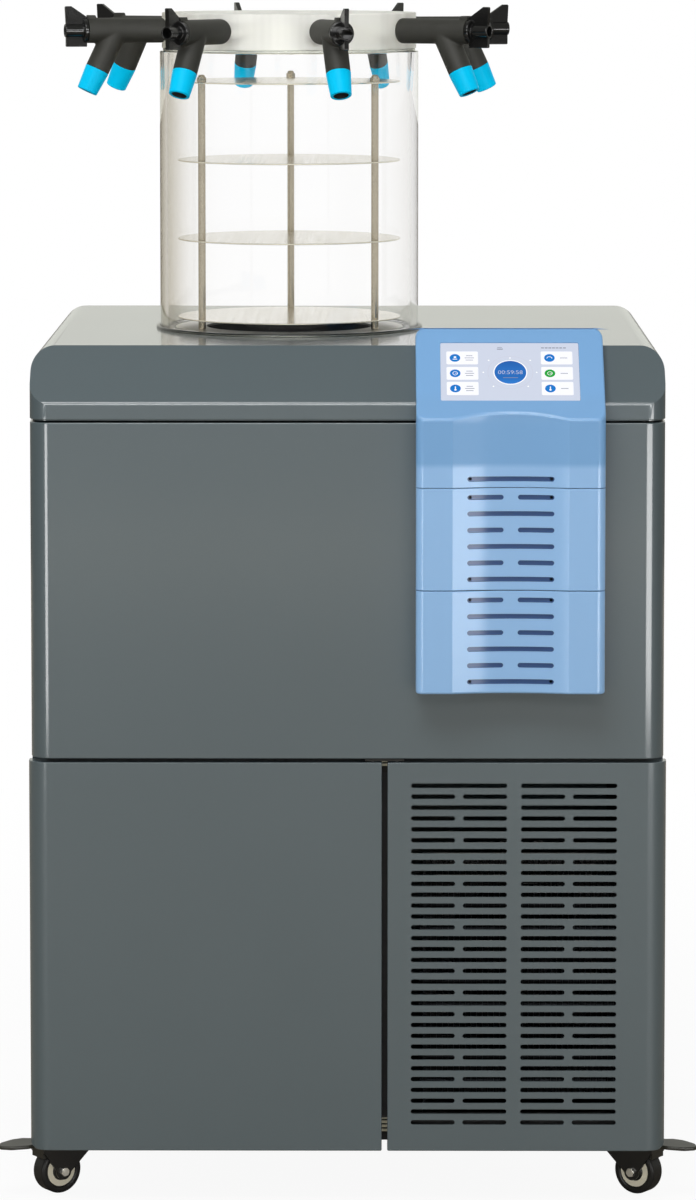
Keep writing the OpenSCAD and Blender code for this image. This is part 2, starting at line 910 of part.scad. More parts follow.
module shell_form(t) {
    top = crease_z + screen_face_l;
    x0 = console_x - console_w / 2 + t;
    intersection() {
        translate([0, 0, console_z])
            linear_extrude(top - console_z)
                console_plan(t, front_y + console_proud * 3);
        along_x(x0, console_w - 2 * t)
            shell_side(t);
        along_y(console_y - cut, console_room)
            cornered(x0, console_z, x0 + console_w - 2 * t, slope_point(screen_face_l, 0)[1] - t,
                [0, 0, console_top_r - t, console_top_r - t]);
    }
}

// The frame of the screen face: X across, Y up the slope, Z out of the face
module screen_place() {
    translate([console_x, console_y, crease_z])
        rotate([screen_slope, 0, 0])
            children();
}

module console_middle_cover() color("lightskyblue")
    difference() {
        console_cover(lower_seam_z + seam_gap / 2, upper_seam_z - seam_gap / 2, 0);
        console_grooves(upper_seam_z);
    }

module console_lower_cover() color("lightskyblue")
    difference() {
        console_cover(console_z, lower_seam_z - seam_gap / 2, console_t);
        console_grooves(lower_seam_z);
    }

module touch_screen() color("lavender")
    screen_place()
        translate([-screen_w / 2, screen_start, -screen_t - screen_drop])
            cube([screen_w, screen_h, screen_t]);

// ---- Chamber ----

module at_chamber(z) {
    translate([chamber_x, chamber_y, z])
        children();
}

module deck_gasket() color("whitesmoke")
    at_chamber(deck_z)
        difference() {
            cylinder(r = chamber_r + gasket_lip_t + rest_gap, h = gasket_t + gasket_lip);
            translate([0, 0, -cut])
                cylinder(r = chamber_r - gasket_w, h = gasket_t + gasket_lip + 2 * cut);
            translate([0, 0, gasket_t])
                cylinder(r = chamber_r + rest_gap, h = gasket_lip + cut);
        }

module chamber_cylinder() color("gainsboro", 0.4)
    at_chamber(chamber_z)
        tube(chamber_r, chamber_r - chamber_wall, chamber_h);

module head_seal() color("whitesmoke")
    at_chamber(chamber_top)
        tube(head_r - 1, head_r - seal_w, seal_t);

module manifold_head() color("gainsboro", 0.4)
    at_chamber(head_z)
        difference() {
            cylinder(r = head_r, h = head_h);
            translate([0, 0, -cut])
                cylinder(r = head_hollow_r, h = head_h - head_top_t + cut);
            for (i = [1:valve_count])
                rotate([0, 0, valve_angle(i)])
                    translate([0, 0, valve_z - head_z])
                        rotate([0, 90, 0])
                            cylinder(r = stem_r + running_gap, h = head_r + cut);
        }

// ---- Valves ----

function valve_angle(i) = valve_start + 45 * (i - 1);

// A valve's own frame: X outwards along its axis from the head's wall
module valve_place(i) {
    at_chamber(valve_z)
        rotate([0, 0, valve_angle(i)])
            translate([head_r, 0, 0])
                children();
}

// The branch's own frame: Z runs down the branch from the valve's axis
module branch_place() {
    translate([branch_at, 0, 0])
        rotate([0, 180 - branch_tilt, 0])
            children();
}

module along_valve(x, r, l) {
    translate([x, 0, 0])
        rotate([0, 90, 0])
            cylinder(r = r, h = l);
}

module valve_body(i) color("dimgray")
    valve_place(i)
        difference() {
            union() {
                along_valve(head_hollow_r - head_r, stem_r, head_r - head_hollow_r + cut);
                along_valve(0.5, valve_r, valve_l - 0.5);
                stop_lug();
                branch_place() {
                    cylinder(
                        r1 = valve_r - 0.3, r2 = branch_end_r, h = branch_l - sleeve_l - rest_gap
                    );
                    cylinder(r = stub_r, h = branch_l - sleeve_l + stub_l - rest_gap);
                }
            }
            along_valve(head_hollow_r - head_r - cut, plug_r - 2, head_r - head_hollow_r + valve_l);
            along_valve(valve_l - plug_l - cut, plug_r + running_gap, plug_l + 2 * cut);
            branch_place()
                cylinder(r = plug_r - 2, h = branch_l);
        }

// The lug on top of a valve's body, beside its knob
module stop_lug() {
    top = valve_r + lug_rise;
    along_y(-lug_w / 2, lug_w)
        polygon([
            [valve_l - lug_l, 0], [valve_l - lug_l, valve_r - 1], [valve_l - lug_l + 2, top],
            [valve_l, top], [valve_l, 0]
        ]);
}

module outlet_sleeve() {
    branch_place()
        translate([0, 0, branch_l - sleeve_l])
            difference() {
                cylinder(r1 = sleeve_top_r, r2 = sleeve_end_r, h = sleeve_l);
                translate([0, 0, -cut])
                    cylinder(r = stub_r + running_gap, h = stub_l + cut);
                cylinder(r = mouth_r, h = sleeve_l + cut);
            }
}

module outlet_sleeves() color("deepskyblue")
    for (i = [1:valve_count])
        valve_place(i)
            outlet_sleeve();

// The knob: a plug in the valve, a flange, a hollow hub and a vane with two wings
module valve_knob(i) color("black")
    valve_place(i) {
        x0 = valve_l + knob_gap;
        x1 = x0 + knob_flange_t;
        tip = x1 + knob_l;
        along_valve(valve_l - plug_l, plug_r, plug_l + knob_gap + 0.5);
        along_valve(x0, knob_flange_r, knob_flange_t);
        difference() {
            union() {
                along_valve(x1 - 0.5, hub_r, knob_l + 0.5);
                along_y(-vane_t / 2, vane_t)
                    polygon([
                        [x0 + 0.5, -wing_down], [tip - 1, -wing_down], [tip - 1, -hub_r],
                        [tip, 0], [tip, wing_up], [tip - 7, wing_up], [x0 + 0.5, valve_r + 1]
                    ]);
            }
            along_valve(x1 + 4, hub_bore_r, knob_l);
        }
    }

// ---- Shelves ----

module at_rods() {
    for (a = rod_angles)
        rotate([0, 0, a])
            translate([rod_circle_r, 0, 0])
                children();
}

module shelf_plates() color("gainsboro")
    for (k = [0:shelf_count - 1])
        at_chamber(shelf_z + k * shelf_pitch)
            difference() {
                cylinder(r = shelf_r, h = shelf_t);
                at_rods()
                    translate([0, 0, -cut])
                        cylinder(r = rod_r + running_gap, h = shelf_t + 2 * cut);
            }

module shelf_rods() color("silver")
    at_chamber(flange_z + 0.5)
        at_rods()
            cylinder(r = rod_r, h = top_shelf_z + nut_h - flange_z - 1);

module shelf_spacers() color("silver") {
    at_chamber(flange_z)
        at_rods()
            tube(spacer_r, rod_r + running_gap, shelf_start);
    for (k = [0:shelf_count - 2])
        at_chamber(shelf_z + shelf_t + k * shelf_pitch)
            at_rods()
                tube(spacer_r, rod_r + running_gap, shelf_pitch - shelf_t);
}

module shelf_nuts() color("silver")
    at_chamber(top_shelf_z)
        at_rods()
            difference() {
                union() {
                    cylinder(r = nut_r, h = nut_h, $fn = 6);
                    translate([0, 0, nut_h - 1])
                        intersection() {
                            sphere(r = nut_r - 1.2);
                            translate([-nut_r, -nut_r, 0])
                                cube([2 * nut_r, 2 * nut_r, nut_r]);
                        }
                }
                translate([0, 0, -cut])
                    cylinder(r = rod_r + running_gap, h = nut_h + cut);
            }

// ---- Cold trap, vacuum pump and drain ----

module cold_trap() color("silver")
    at_chamber(0)
        difference() {
            union() {
                translate([0, 0, deck_z])
                    cylinder(r = trap_flange_r, h = flange_t);
                translate([0, 0, trap_z])
                    cylinder(r = trap_r, h = trap_depth + 0.5);
                translate([-port_at, 0, trap_z - port_l])
                    cylinder(r = vacuum_port_r, h = port_l + cut);
                translate([port_at, 0, trap_z - port_l])
                    cylinder(r = drain_port_r, h = port_l + cut);
            }
            translate([0, 0, trap_z + trap_wall])
                cylinder(r = trap_r - trap_wall, h = trap_depth + 10);
            translate([-port_at, 0, trap_z - port_l - cut])
                cylinder(r = vacuum_port_r - pipe_wall, h = port_l + 10);
            translate([port_at, 0, trap_z - port_l - cut])
                cylinder(r = drain_port_r - pipe_wall, h = port_l + 10);
        }

// A helix of tube: ring n stands at a point of the helix, square to the radius
function coil_point(n, s) =
    let (a = 360 * n / coil_steps, b = 360 * s / coil_sides, r = coil_r + coil_tube_r * cos(b))
    [r * cos(a), r * sin(a), n * coil_pitch / coil_steps + coil_tube_r * sin(b)];

module trap_coil() color("peru")
    at_chamber(coil_z) {
        rings = coil_turns * coil_steps;
        n = coil_sides;
        polyhedron(
            points = [for (k = [0:rings]) for (s = [0:n - 1]) coil_point(k, s)],
            faces = concat(
                [[for (s = [0:n - 1]) s]],
                [for (k = [0:rings - 1]) for (s = [0:n - 1]) [
                    k * n + s, (k + 1) * n + s, (k + 1) * n + (s + 1) % n, k * n + (s + 1) % n
                ]],
                [[for (s = [n - 1:-1:0]) rings * n + s]]
            )
        );
    }

module rubber_feet(dx, dy, z, h) {
    for (x = [-dx, dx])
        for (y = [-dy, dy])
            translate([x, y, z])
                cylinder(r = foot_r, h = h);
}

module vacuum_pump() color("darkseagreen") {
    w = pump_case[0];
    translate([pump_x, 0, 0]) {
        // Base plate on four feet
        translate([0, pump_front + (pump_case[1] + motor_l) / 2, 0]) {
            rubber_feet(w / 2 - 14, 150, floor_z, pump_foot_h + 1);
            translate([-w / 2, -(pump_case[1] + motor_l) / 2, floor_z + pump_foot_h])
                cube([w, pump_case[1] + motor_l, pump_base_t]);
        }
        // Oil case with its sight glass, inlet port and carrying handle
        translate([0, 0, pump_case_z - 1])
            linear_extrude(pump_case[2] + 1)
                cornered(-w / 2, pump_front, w / 2, pump_front + pump_case[1],
                    [pump_case_r, pump_case_r, pump_case_r, pump_case_r]);
        translate([0, pump_front + 1, pump_case_z + 50])
            rotate([90, 0, 0])
                cylinder(r = sight_glass_r, h = 6);
        translate([0, chamber_y, pump_case_z + pump_case[2] - 1])
            tube(vacuum_port_r, vacuum_port_r - pipe_wall, pump_port_l + 1);
        for (y = handle_at)
            translate([-handle_w / 2, pump_front + y, pump_case_z + pump_case[2] - 1])
                cube([handle_w, handle_post_d, handle_rise + 6]);
        translate([-handle_w / 2, pump_front + handle_at[0], pump_case_z + pump_case[2] + handle_rise])
            cube([handle_w, handle_at[1] - handle_at[0] + handle_post_d, 10]);
        // Motor with its saddle and terminal box
        translate([0, pump_front + pump_case[1] - 1, pump_case_z + motor_r + motor_rise])
            rotate([-90, 0, 0]) {
                cylinder(r = motor_r, h = motor_l - 12);
                for (k = [0:8])
                    translate([0, 0, 14 + k * fin_ring_pitch])
                        cylinder(r = motor_r + 4, h = fin_ring_t);
                translate([0, 0, motor_l - 14])
                    cylinder(r = motor_r - 8, h = 14);
            }
        translate([-saddle[0] / 2, pump_front + pump_case[1] + 40, pump_case_z - 1])
            cube(saddle);
        translate([
            -terminal_box[0] / 2, pump_front + pump_case[1] + 50, pump_case_z + 2 * motor_r
        ])
            cube(terminal_box);
    }
}

// Bellows between the trap's port and the pump's port
module vacuum_line() color("silver") {
    z0 = pump_port_z;
    z1 = trap_z - port_l;
    cuff = 16;
    count = floor((z1 - z0 - 2 * cuff) / bellows_pitch);
    translate([pump_x, chamber_y, 0])
        difference() {
            union() {
                translate([0, 0, z0])
                    cylinder(r = bellows_r - 4, h = z1 - z0);
                for (z = [z0, z1 - cuff])
                    translate([0, 0, z])
                        cylinder(r = bellows_r + 2, h = cuff);
                for (k = [0:count - 1])
                    translate([0, 0, z0 + cuff + (k + 0.25) * bellows_pitch])
                        cylinder(r = bellows_r, h = bellows_pitch / 2);
            }
            translate([0, 0, z0 - cut])
                cylinder(r = vacuum_port_r - pipe_wall, h = z1 - z0 + 2 * cut);
        }
}

// A bent pipe from the trap's drain port to a spout through the rear panel
module drain_line() color("silver") {
    top = trap_z - port_l;
    translate([drain_x, chamber_y, 0]) {
        translate([0, 0, drain_z + drain_bend_r])
            tube(drain_r, drain_bore_r, top - drain_z - drain_bend_r);
        translate([0, drain_bend_r, drain_z + drain_bend_r])
            rotate([90, 0, 90])
                rotate_extrude(angle = 90, start = 180)
                    translate([drain_bend_r, 0])
                        difference() {
                            circle(drain_r);
                            circle(drain_bore_r);
                        }
        translate([0, drain_bend_r, drain_z])
            rotate([-90, 0, 0])
                tube(drain_r, drain_bore_r, total_d / 2 - chamber_y - drain_bend_r);
        translate([0, rear_y - chamber_y + rest_gap, drain_z])
            rotate([-90, 0, 0])
                tube(spout_r, drain_bore_r, rear_proud - rest_gap);
    }
}

// ---- Refrigeration ----

module compressor() color("dimgray")
    translate([bay_x, compressor_y, 0]) {
        rubber_feet(70, 60, floor_z, 13);
        translate([-compressor_plate[0] / 2, -compressor_plate[1] / 2, floor_z + 12])
            cube(compressor_plate);
        translate([0, 0, floor_z + 15]) {
            dome = compressor_dome;
            cylinder(r1 = compressor_r - dome, r2 = compressor_r, h = dome);
            translate([0, 0, dome])
                cylinder(r = compressor_r, h = compressor_h - 2 * dome);
            translate([0, 0, compressor_h / 2])
                cylinder(r = compressor_r + 4, h = 4);
            translate([0, 0, compressor_h - dome])
                cylinder(r1 = compressor_r, r2 = compressor_r - dome, h = dome);
            for (a = [60, 120])
                rotate([0, 0, a])
                    translate([compressor_r - dome - 8, 0, compressor_h - 6])
                        tube(5, 3.5, 40);
            translate([-start_box[0] / 2, -compressor_r - 18, 70])
                cube(start_box);
        }
    }

module condenser() color("silver")
    translate([bay_x - condenser[0] / 2, condenser_y, condenser_z]) {
        fin_room = condenser[0] - 2 * side_plate_t;
        for (x = [0, condenser[0] - side_plate_t])
            translate([x, 0, -condenser_z + floor_z])
                cube([side_plate_t, condenser[1], condenser[2] + condenser_z - floor_z]);
        for (k = [1:fin_count])
            translate([side_plate_t + k * fin_room / (fin_count + 1) - fin_t / 2, 2, 4])
                cube([fin_t, condenser[1] - 4, condenser[2] - 8]);
        for (row = [0:tube_rows - 1])
            for (y = tube_y)
                translate([-4, y, 22 + row * tube_pitch])
                    rotate([0, 90, 0])
                        cylinder(r = tube_r, h = condenser[0] + 8);
    }

module fan_shroud() color("dimgray")
    translate([bay_x, fan_y, fan_z])
        rotate([-90, 0, 0]) {
            w = condenser[0];
            h = condenser[2];
            motor_at = duct_l - 8;
            difference() {
                translate([-w / 2, -h / 2, 0])
                    cube([w, h, 2]);
                translate([0, 0, -cut])
                    cylinder(r = fan_r + shroud_gap, h = 4);
            }
            tube(fan_r + shroud_gap + 2, fan_r + shroud_gap, duct_l);
            translate([0, 0, motor_at])
                cylinder(r = fan_motor_r, h = fan_motor_l);
            translate([0, 0, 8])
                cylinder(r = fan_shaft_r, h = motor_at - 7);
            for (a = [45:90:315])
                rotate([0, 0, a])
                    translate([fan_motor_r - 1, -4, motor_at])
                        cube(fan_arm);
        }

module fan_rotor() color("black")
    translate([bay_x, fan_y, fan_z])
        rotate([-90, 0, 0])
            translate([0, 0, 9])
                difference() {
                    union() {
                        cylinder(r = fan_hub_r, h = fan_hub_t);
                        intersection() {
                            tube(fan_r, fan_hub_r - 8, fan_hub_t);
                            for (k = [0:fan_blades - 1])
                                rotate([blade_pitch_angle, 0, 360 * k / fan_blades])
                                    translate([0, -30, 9])
                                        cube([fan_r + 5, 60, 2]);
                        }
                    }
                    translate([0, 0, -cut])
                        cylinder(r = fan_shaft_r + running_gap, h = fan_hub_t + 2 * cut);
                }

// ---- Power inlet ----

module power_inlet() color("black")
    translate([inlet_x, rear_y, inlet_z])
        difference() {
            union() {
                translate([-inlet[0] / 2, 0, -inlet[2] / 2])
                    cube([inlet[0], inlet[1], inlet[2]]);
                translate([-inlet_body[0] / 2, -inlet_body[1], -inlet_body[2] / 2])
                    cube([inlet_body[0], inlet_body[1] + 0.5, inlet_body[2]]);
            }
            // Socket with three blades
            difference() {
                translate([socket_x - socket[0] / 2, -socket[1], -socket[2] / 2])
                    cube([socket[0], socket[1] + inlet[1] + cut, socket[2]]);
                for (k = [-1:1])
                    translate([
                        socket_x + k * blade_pitch - blade[0] / 2,
                        -socket[1] - cut,
                        k == 0 ? 0 : -blade[2]
                    ])
                        cube([blade[0], blade[1], blade[2]]);
            }
            // Seat of the switch with its pivot holes
            translate([switch_x - switch_w / 2 - rest_gap, -switch_room, -switch_seat_r])
                cube([switch_w + 2 * rest_gap, switch_room + inlet[1] + cut, 2 * switch_seat_r]);
            translate([switch_x, -switch_deep, 0])
                rotate([0, 90, 0])
                    cylinder(r = switch_pin_r + running_gap, h = switch_w + 8, center = true);
        }

// The rocker, its upper half pressed in; its two faces meet at the travel angle
module power_switch() color("black")
    translate([inlet_x + switch_x, rear_y - switch_deep, inlet_z]) {
        face = switch_deep + inlet[1];
        rotate([0, 90, 0])
            cylinder(r = switch_pin_r, h = switch_w + 6, center = true);
        along_x(-switch_w / 2, switch_w)
            intersection() {
                circle(switch_r);
                polygon([
                    [-3, -switch_r], [face, -switch_r], [face, 0],
                    [face - switch_r * tan(switch_travel), switch_r], [-3, switch_r]
                ]);
            }
    }

// ---- Casters ----

module caster_place(i) {
    translate([caster_xy[i - 1][0], caster_xy[i - 1][1], 0])
        rotate([0, 0, caster_angles[i - 1]])
            children();
}

module caster_plates() color("silver")
    for (i = [1:4])
        translate([caster_xy[i - 1][0], caster_xy[i - 1][1], 0]) {
            difference() {
                translate([-plate_w / 2, -plate_w / 2, frame_z - plate_t])
                    cube([plate_w, plate_w, plate_t]);
                for (x = [-bolt_at, bolt_at])
                    for (y = [-bolt_at, bolt_at])
                        translate([x, y, frame_z - plate_t - cut])
                            cylinder(r = bolt_hole_r, h = plate_t + 2 * cut);
            }
            translate([0, 0, frame_z - plate_t - race_t])
                cylinder(r = race_r, h = race_t + 0.5);
            translate([0, 0, crown_z - 1])
                cylinder(r = kingpin_r, h = frame_z - plate_t - crown_z);
            translate([0, 0, crown_z - 2.6])
                cylinder(r = 9, h = 2.2);
        }

module caster_fork(i) color("black")
    caster_place(i) {
        difference() {
            union() {
                translate([0, 0, crown_z])
                    cylinder(r = crown_r, h = crown_t);
                translate([-14, -leg_in - leg_t, crown_z])
                    cube([32, 2 * (leg_in + leg_t), crown_t]);
            }
            translate([0, 0, crown_z - cut])
                cylinder(r = kingpin_r + running_gap, h = crown_t + 2 * cut);
        }
        for (s = [-1, 1])
            along_y(s > 0 ? leg_in : -leg_in - leg_t, leg_t)
                fork_leg(i < 3);
        translate([caster_trail, 0, wheel_r])
            rotate([90, 0, 0]) {
                cylinder(r = axle_r, h = 2 * (leg_in + leg_t) - 1, center = true);
                for (s = [-1, 1])
                    translate([0, 0, s * (leg_in + leg_t + 1.5) - axle_nut_t / 2])
                        cylinder(r = axle_nut_r, h = axle_nut_t, $fn = 6);
            }
        if (i < 3)
            translate([pedal_x, 0, pedal_z])
                rotate([90, 0, 0])
                    cylinder(r = pedal_pin_r, h = 2 * (leg_in + leg_t) - 1, center = true);
    }

// One leg's outline; a braked fork has an ear for the pedal's pin
module fork_leg(braked) {
    polygon([
        [-14, crown_top], [-14, crown_z - 8], [caster_trail - 9, wheel_r - 1],
        [caster_trail + 9, wheel_r - 1], [caster_trail + 10, crown_top - 6], [18, crown_top]
    ]);
    translate([caster_trail, wheel_r])
        circle(9);
    if (braked) {
        polygon([
            [caster_trail, wheel_r + 8], [caster_trail + 8, wheel_r], [pedal_x + 5, pedal_z - 3],
            [pedal_x, pedal_z + 5], [18, crown_top - 1]
        ]);
        translate([pedal_x, pedal_z])
            circle(6);
    }
}

module caster_wheel(i) color("black")
    caster_place(i)
        translate([caster_trail, 0, wheel_r])
            rotate([90, 0, 0])
                difference() {
                    wheel_body();
                    cylinder(r = axle_r + running_gap, h = wheel_w + 2 * cut, center = true);
                }

// A tread with rounded shoulders and a disc recessed on both sides
module wheel_body() {
    rotate_extrude()
        difference() {
            cornered(0, -wheel_w / 2, wheel_r, wheel_w / 2,
                [0, wheel_shoulder_r, wheel_shoulder_r, 0]);
            for (s = [-1, 1])
                translate([
                    wheel_recess_in, s > 0 ? wheel_w / 2 - wheel_recess_t : -wheel_w / 2 - cut
                ])
                    square([wheel_recess_out - wheel_recess_in, wheel_recess_t + cut]);
        }
}

// Brake pedal of a front caster: a leaf on a hub, with a toe that meets the tread
module caster_brake(i) color("darkolivegreen")
    caster_place(i)
        difference() {
            union() {
                translate([pedal_x, 0, pedal_z])
                    rotate([90, 0, 0])
                        cylinder(r = pedal_hub_r, h = 2 * leg_in - 1, center = true);
                translate([pedal_x + 1.5, -leg_in + 0.5, pedal_z - 10.5])
                    cube([3, 2 * leg_in - 1, 10]);
                translate([pedal_x - 3, -leg_in + 0.5, pedal_z])
                    cube([8, 2 * leg_in - 1, pedal_rise + 1]);
                translate([0, 0, pedal_z + pedal_rise])
                    linear_extrude(pedal_t)
                        pedal_leaf();
            }
            translate([pedal_x, 0, pedal_z])
                rotate([90, 0, 0])
                    cylinder(r = pedal_pin_r + running_gap, h = 3 * leg_in, center = true);
        }

module pedal_leaf() {
    tip = pedal_reach;
    polygon([
        [pedal_x - 3, -leg_in + 0.5], [pedal_x + 7, -leg_in + 0.5],
        [pedal_x + 14, -pedal_half_w + 1], [tip - 26, -pedal_half_w], [tip - 8, -12], [tip, -3],
        [tip, 3], [tip - 8, 12], [tip - 26, pedal_half_w], [pedal_x + 14, pedal_half_w - 1],
        [pedal_x + 7, leg_in - 0.5], [pedal_x - 3, leg_in - 0.5]
    ]);
}

// ---- One line for each node ----

base_frame();
left_side_panel();
right_side_panel();
rear_panel();
upper_front_panel();
top_cover();
left_door();
right_door();
hinge_brackets();
console_shell();
console_middle_cover();
console_lower_cover();
touch_screen();
deck_gasket();
chamber_cylinder();
manifold_head();
head_seal();
outlet_sleeves();
shelf_plates();
shelf_rods();
shelf_spacers();
shelf_nuts();
cold_trap();
trap_coil();
compressor();
condenser();
fan_shroud();
fan_rotor();
vacuum_pump();
vacuum_line();
drain_line();
power_inlet();
power_switch();
caster_plates();
for (i = [1:valve_count]) {
    valve_body(i);
    valve_knob(i);
}
for (i = [1:4]) {
    caster_fork(i);
    caster_wheel(i);
}
for (i = [1:2])
    caster_brake(i);
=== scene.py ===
"""Freeze dryer: the visible pieces, finishes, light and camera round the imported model."""

import json
import math

import bmesh
import bpy
from mathutils import Matrix, Vector


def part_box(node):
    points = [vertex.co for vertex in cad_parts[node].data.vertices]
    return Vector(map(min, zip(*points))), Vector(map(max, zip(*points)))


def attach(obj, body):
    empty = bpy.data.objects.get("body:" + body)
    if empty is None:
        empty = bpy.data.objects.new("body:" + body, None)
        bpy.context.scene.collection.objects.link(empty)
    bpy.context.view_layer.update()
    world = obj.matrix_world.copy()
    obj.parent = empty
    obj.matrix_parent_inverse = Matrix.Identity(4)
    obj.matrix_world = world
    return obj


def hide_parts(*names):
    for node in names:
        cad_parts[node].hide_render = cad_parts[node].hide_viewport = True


bl_info = {
    "name": "Freeze dryer",
    "version": (1, 0, 0),
    "blender": (4, 5, 0),
    "location": "3D View > Sidebar > Freeze dryer",
    "description": "Builds the visible pieces and finishes of a floor-standing freeze dryer",
    "category": "Object",
}

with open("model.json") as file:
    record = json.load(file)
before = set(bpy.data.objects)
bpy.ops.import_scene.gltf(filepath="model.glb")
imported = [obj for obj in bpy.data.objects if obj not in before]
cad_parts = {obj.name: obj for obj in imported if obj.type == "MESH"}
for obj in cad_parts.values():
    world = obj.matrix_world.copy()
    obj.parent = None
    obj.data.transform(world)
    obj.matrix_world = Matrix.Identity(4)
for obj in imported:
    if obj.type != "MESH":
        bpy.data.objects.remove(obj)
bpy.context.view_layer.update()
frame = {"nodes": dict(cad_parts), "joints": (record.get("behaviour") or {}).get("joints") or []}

MM = 0.001
# Distance below which two points count as one
NEAR = 1e-5
# Clearance all round a part in its hole
FIT = 0.05 * MM
ARC_STEP = math.radians(9)
CABINET = "cabinet"
VALVES = 8
RODS = 3
CASTERS = 4
# Casters with a brake: the first two, at the front
BRAKED = 2


def linear(level):
    """One 8-bit display channel as a linear value."""
    level = level / 255
    return level / 12.92 if level <= 0.04045 else ((level + 0.055) / 1.055) ** 2.4


def tone(red, green, blue):
    return (linear(red), linear(green), linear(blue))


def length(name, description, default, **more):
    return bpy.props.FloatProperty(
        name=name, description=description, default=default, subtype="DISTANCE",
        unit="LENGTH", precision=4, min=0.0, **more,
    )


def turn(name, description, degrees):
    return bpy.props.FloatProperty(
        name=name, description=description, default=math.radians(degrees), subtype="ANGLE",
    )


def colour(name, description, rgb):
    return bpy.props.FloatVectorProperty(
        name=name, description=description, default=tone(*rgb), subtype="COLOR", size=3,
        min=0.0, max=1.0,
    )


def power(name, description, watts):
    return bpy.props.FloatProperty(
        name=name, description=description, default=watts, unit="POWER", min=0.0,
    )


class CabinetSizes(bpy.types.PropertyGroup):
    """Sizes of the top cover, the upper front panel and the doors."""

    sheet: length("Sheet", "Thickness of the sheet metal", 2 * MM)
    corner: length("Corner radius", "Radius of the upright front corners", 22 * MM)
    door_corner: length("Door corner", "Radius of a door's lower outer corner", 9 * MM)
    hem: length("Hem radius", "Small radius along the folded edges", 1.3 * MM)
    cover_wall: length("Cover wall", "Thickness of the top cover", 3 * MM)
    cover_corner: length("Cover corner", "Radius of the cover's upright front corners", 20 * MM)
    cover_rear: length("Cover rear corner", "Radius of the cover's rear corners", 8 * MM)
    cover_side: length("Cover side radius", "Radius along the cover's side edges", 25 * MM)
    skirt: length("Skirt", "Height of the cover's upright front", 18 * MM)
    slant: length("Slant depth", "Depth of the cover's slanted front", 60 * MM)
    skirt_crease: length("Skirt crease", "Radius between the skirt and the slant", 7 * MM)
    deck_crease: length("Deck crease", "Radius between the slant and the deck", 1.6 * MM)
    trap_hole: length("Trap hole", "Radius of the hole below the chamber", 98 * MM)
    slot_height: length("Louvre height", "Height of each louvre slot", 5 * MM)
    slot_pitch: length("Louvre pitch", "Distance from one louvre row to the next", 11.85 * MM)
    slot_inner: length("Louvre inner margin", "From the hinge edge to the louvres", 25.3 * MM)
    slot_outer: length("Louvre outer margin", "From the louvres to the outer edge", 53.5 * MM)
    slot_gap: length("Louvre column gap", "Distance between the louvre columns", 14.9 * MM)
    slot_bridge: length("Louvre bridge", "Distance between a split slot's halves", 8.4 * MM)
    slot_low: length("Louvre low margin", "From the bottom edge to the lowest row", 31.6 * MM)
    slot_rows: bpy.props.IntProperty(
        name="Louvre rows", description="Number of louvre rows", default=32, min=1,
    )


class ConsoleSizes(bpy.types.PropertyGroup):
    """Sizes of the control console."""

    slope: turn("Slope", "Slope of the screen face from level", 41)
    face: length("Face length", "Length of the screen face, up the slope", 135 * MM)
    corner: length("Corner radius", "Radius of the upright front corners", 9 * MM)
    top_corner: length("Top corner radius", "Radius of the upper corners", 11 * MM)
    wall: length("Wall", "Thickness of the console's wall", 4 * MM)
    scoop_width: length("Scoop width", "Width of the hollow in the front", 123.5 * MM)
    scoop_depth: length("Scoop depth", "Depth of the hollow in the front", 7.5 * MM)
    groove_length: length("Groove length", "Length of a full groove", 92.3 * MM)
    groove_height: length("Groove height", "Height of a groove", 5.3 * MM)
    groove_depth: length("Groove depth", "Depth of a groove", 2.8 * MM)
    groove_pitch: length("Groove pitch", "Distance from one groove to the next", 17.5 * MM)
    groove_bridge: length("Groove bridge", "Distance between a split groove's halves", 15.2 * MM)
    groove_margin: length("Groove margin", "From a cover's top to its first groove", 9.9 * MM)
    groove_rows: bpy.props.IntProperty(
        name="Groove rows", description="Grooves in each cover", default=6, min=1,
    )
    hole: length("Hole radius", "Radius of the fixing holes in the end grooves", 1.7 * MM)
    hole_inset: length("Hole inset", "From a groove's end to its fixing hole", 3 * MM)
    screen_width: length("Screen width", "Width of the touch screen", 148 * MM)
    screen_height: length("Screen height", "Height of the touch screen", 85.6 * MM)
    screen_start: length("Screen start", "From the crease to the screen", 27.5 * MM)
    screen_drop: length("Screen drop", "How far the screen lies below the face", 0.6 * MM)
    screen_corner: length("Screen corner", "Radius of the screen's corners", 1.5 * MM)


class ChamberSizes(bpy.types.PropertyGroup):
    """Sizes of the drying chamber and what stands in it."""

    wall: length("Cylinder wall", "Wall of the acrylic cylinder", 8 * MM)
    edge: length("Edge radius", "Radius of the acrylic's polished edges", 1.2 * MM)
    head_wall: length("Head wall", "Wall of the manifold head", 38.5 * MM)
    head_top: length("Head top", "Thickness of the manifold head's top", 12 * MM)
    stem: length("Stem bore", "Radius of the stem bores in the head", 9.05 * MM)
    seal_wall: length("Seal wall", "Width of the seal below the head", 10 * MM)
    gasket_foot: length("Gasket foot", "Width of the gasket below the cylinder", 14 * MM)
    gasket_gap: length("Gasket gap", "Gap between the gasket's lip and the cylinder", 0.3 * MM)
    rod_circle: length("Rod circle", "Radius of the circle of tie rods", 110 * MM)
    rod: length("Rod radius", "Radius of the tie rods", 3 * MM)
    shelf: length("Shelf thickness", "Thickness of the shelf plates", 1.5 * MM)
    spacer: length("Spacer", "Outer radius of the spacer tubes", 4 * MM)
    shelf_pitch: length("Shelf pitch", "Distance from one shelf to the next", 88 * MM)
    nut: length("Nut radius", "Radius of the cap nuts on the rods", 5 * MM)


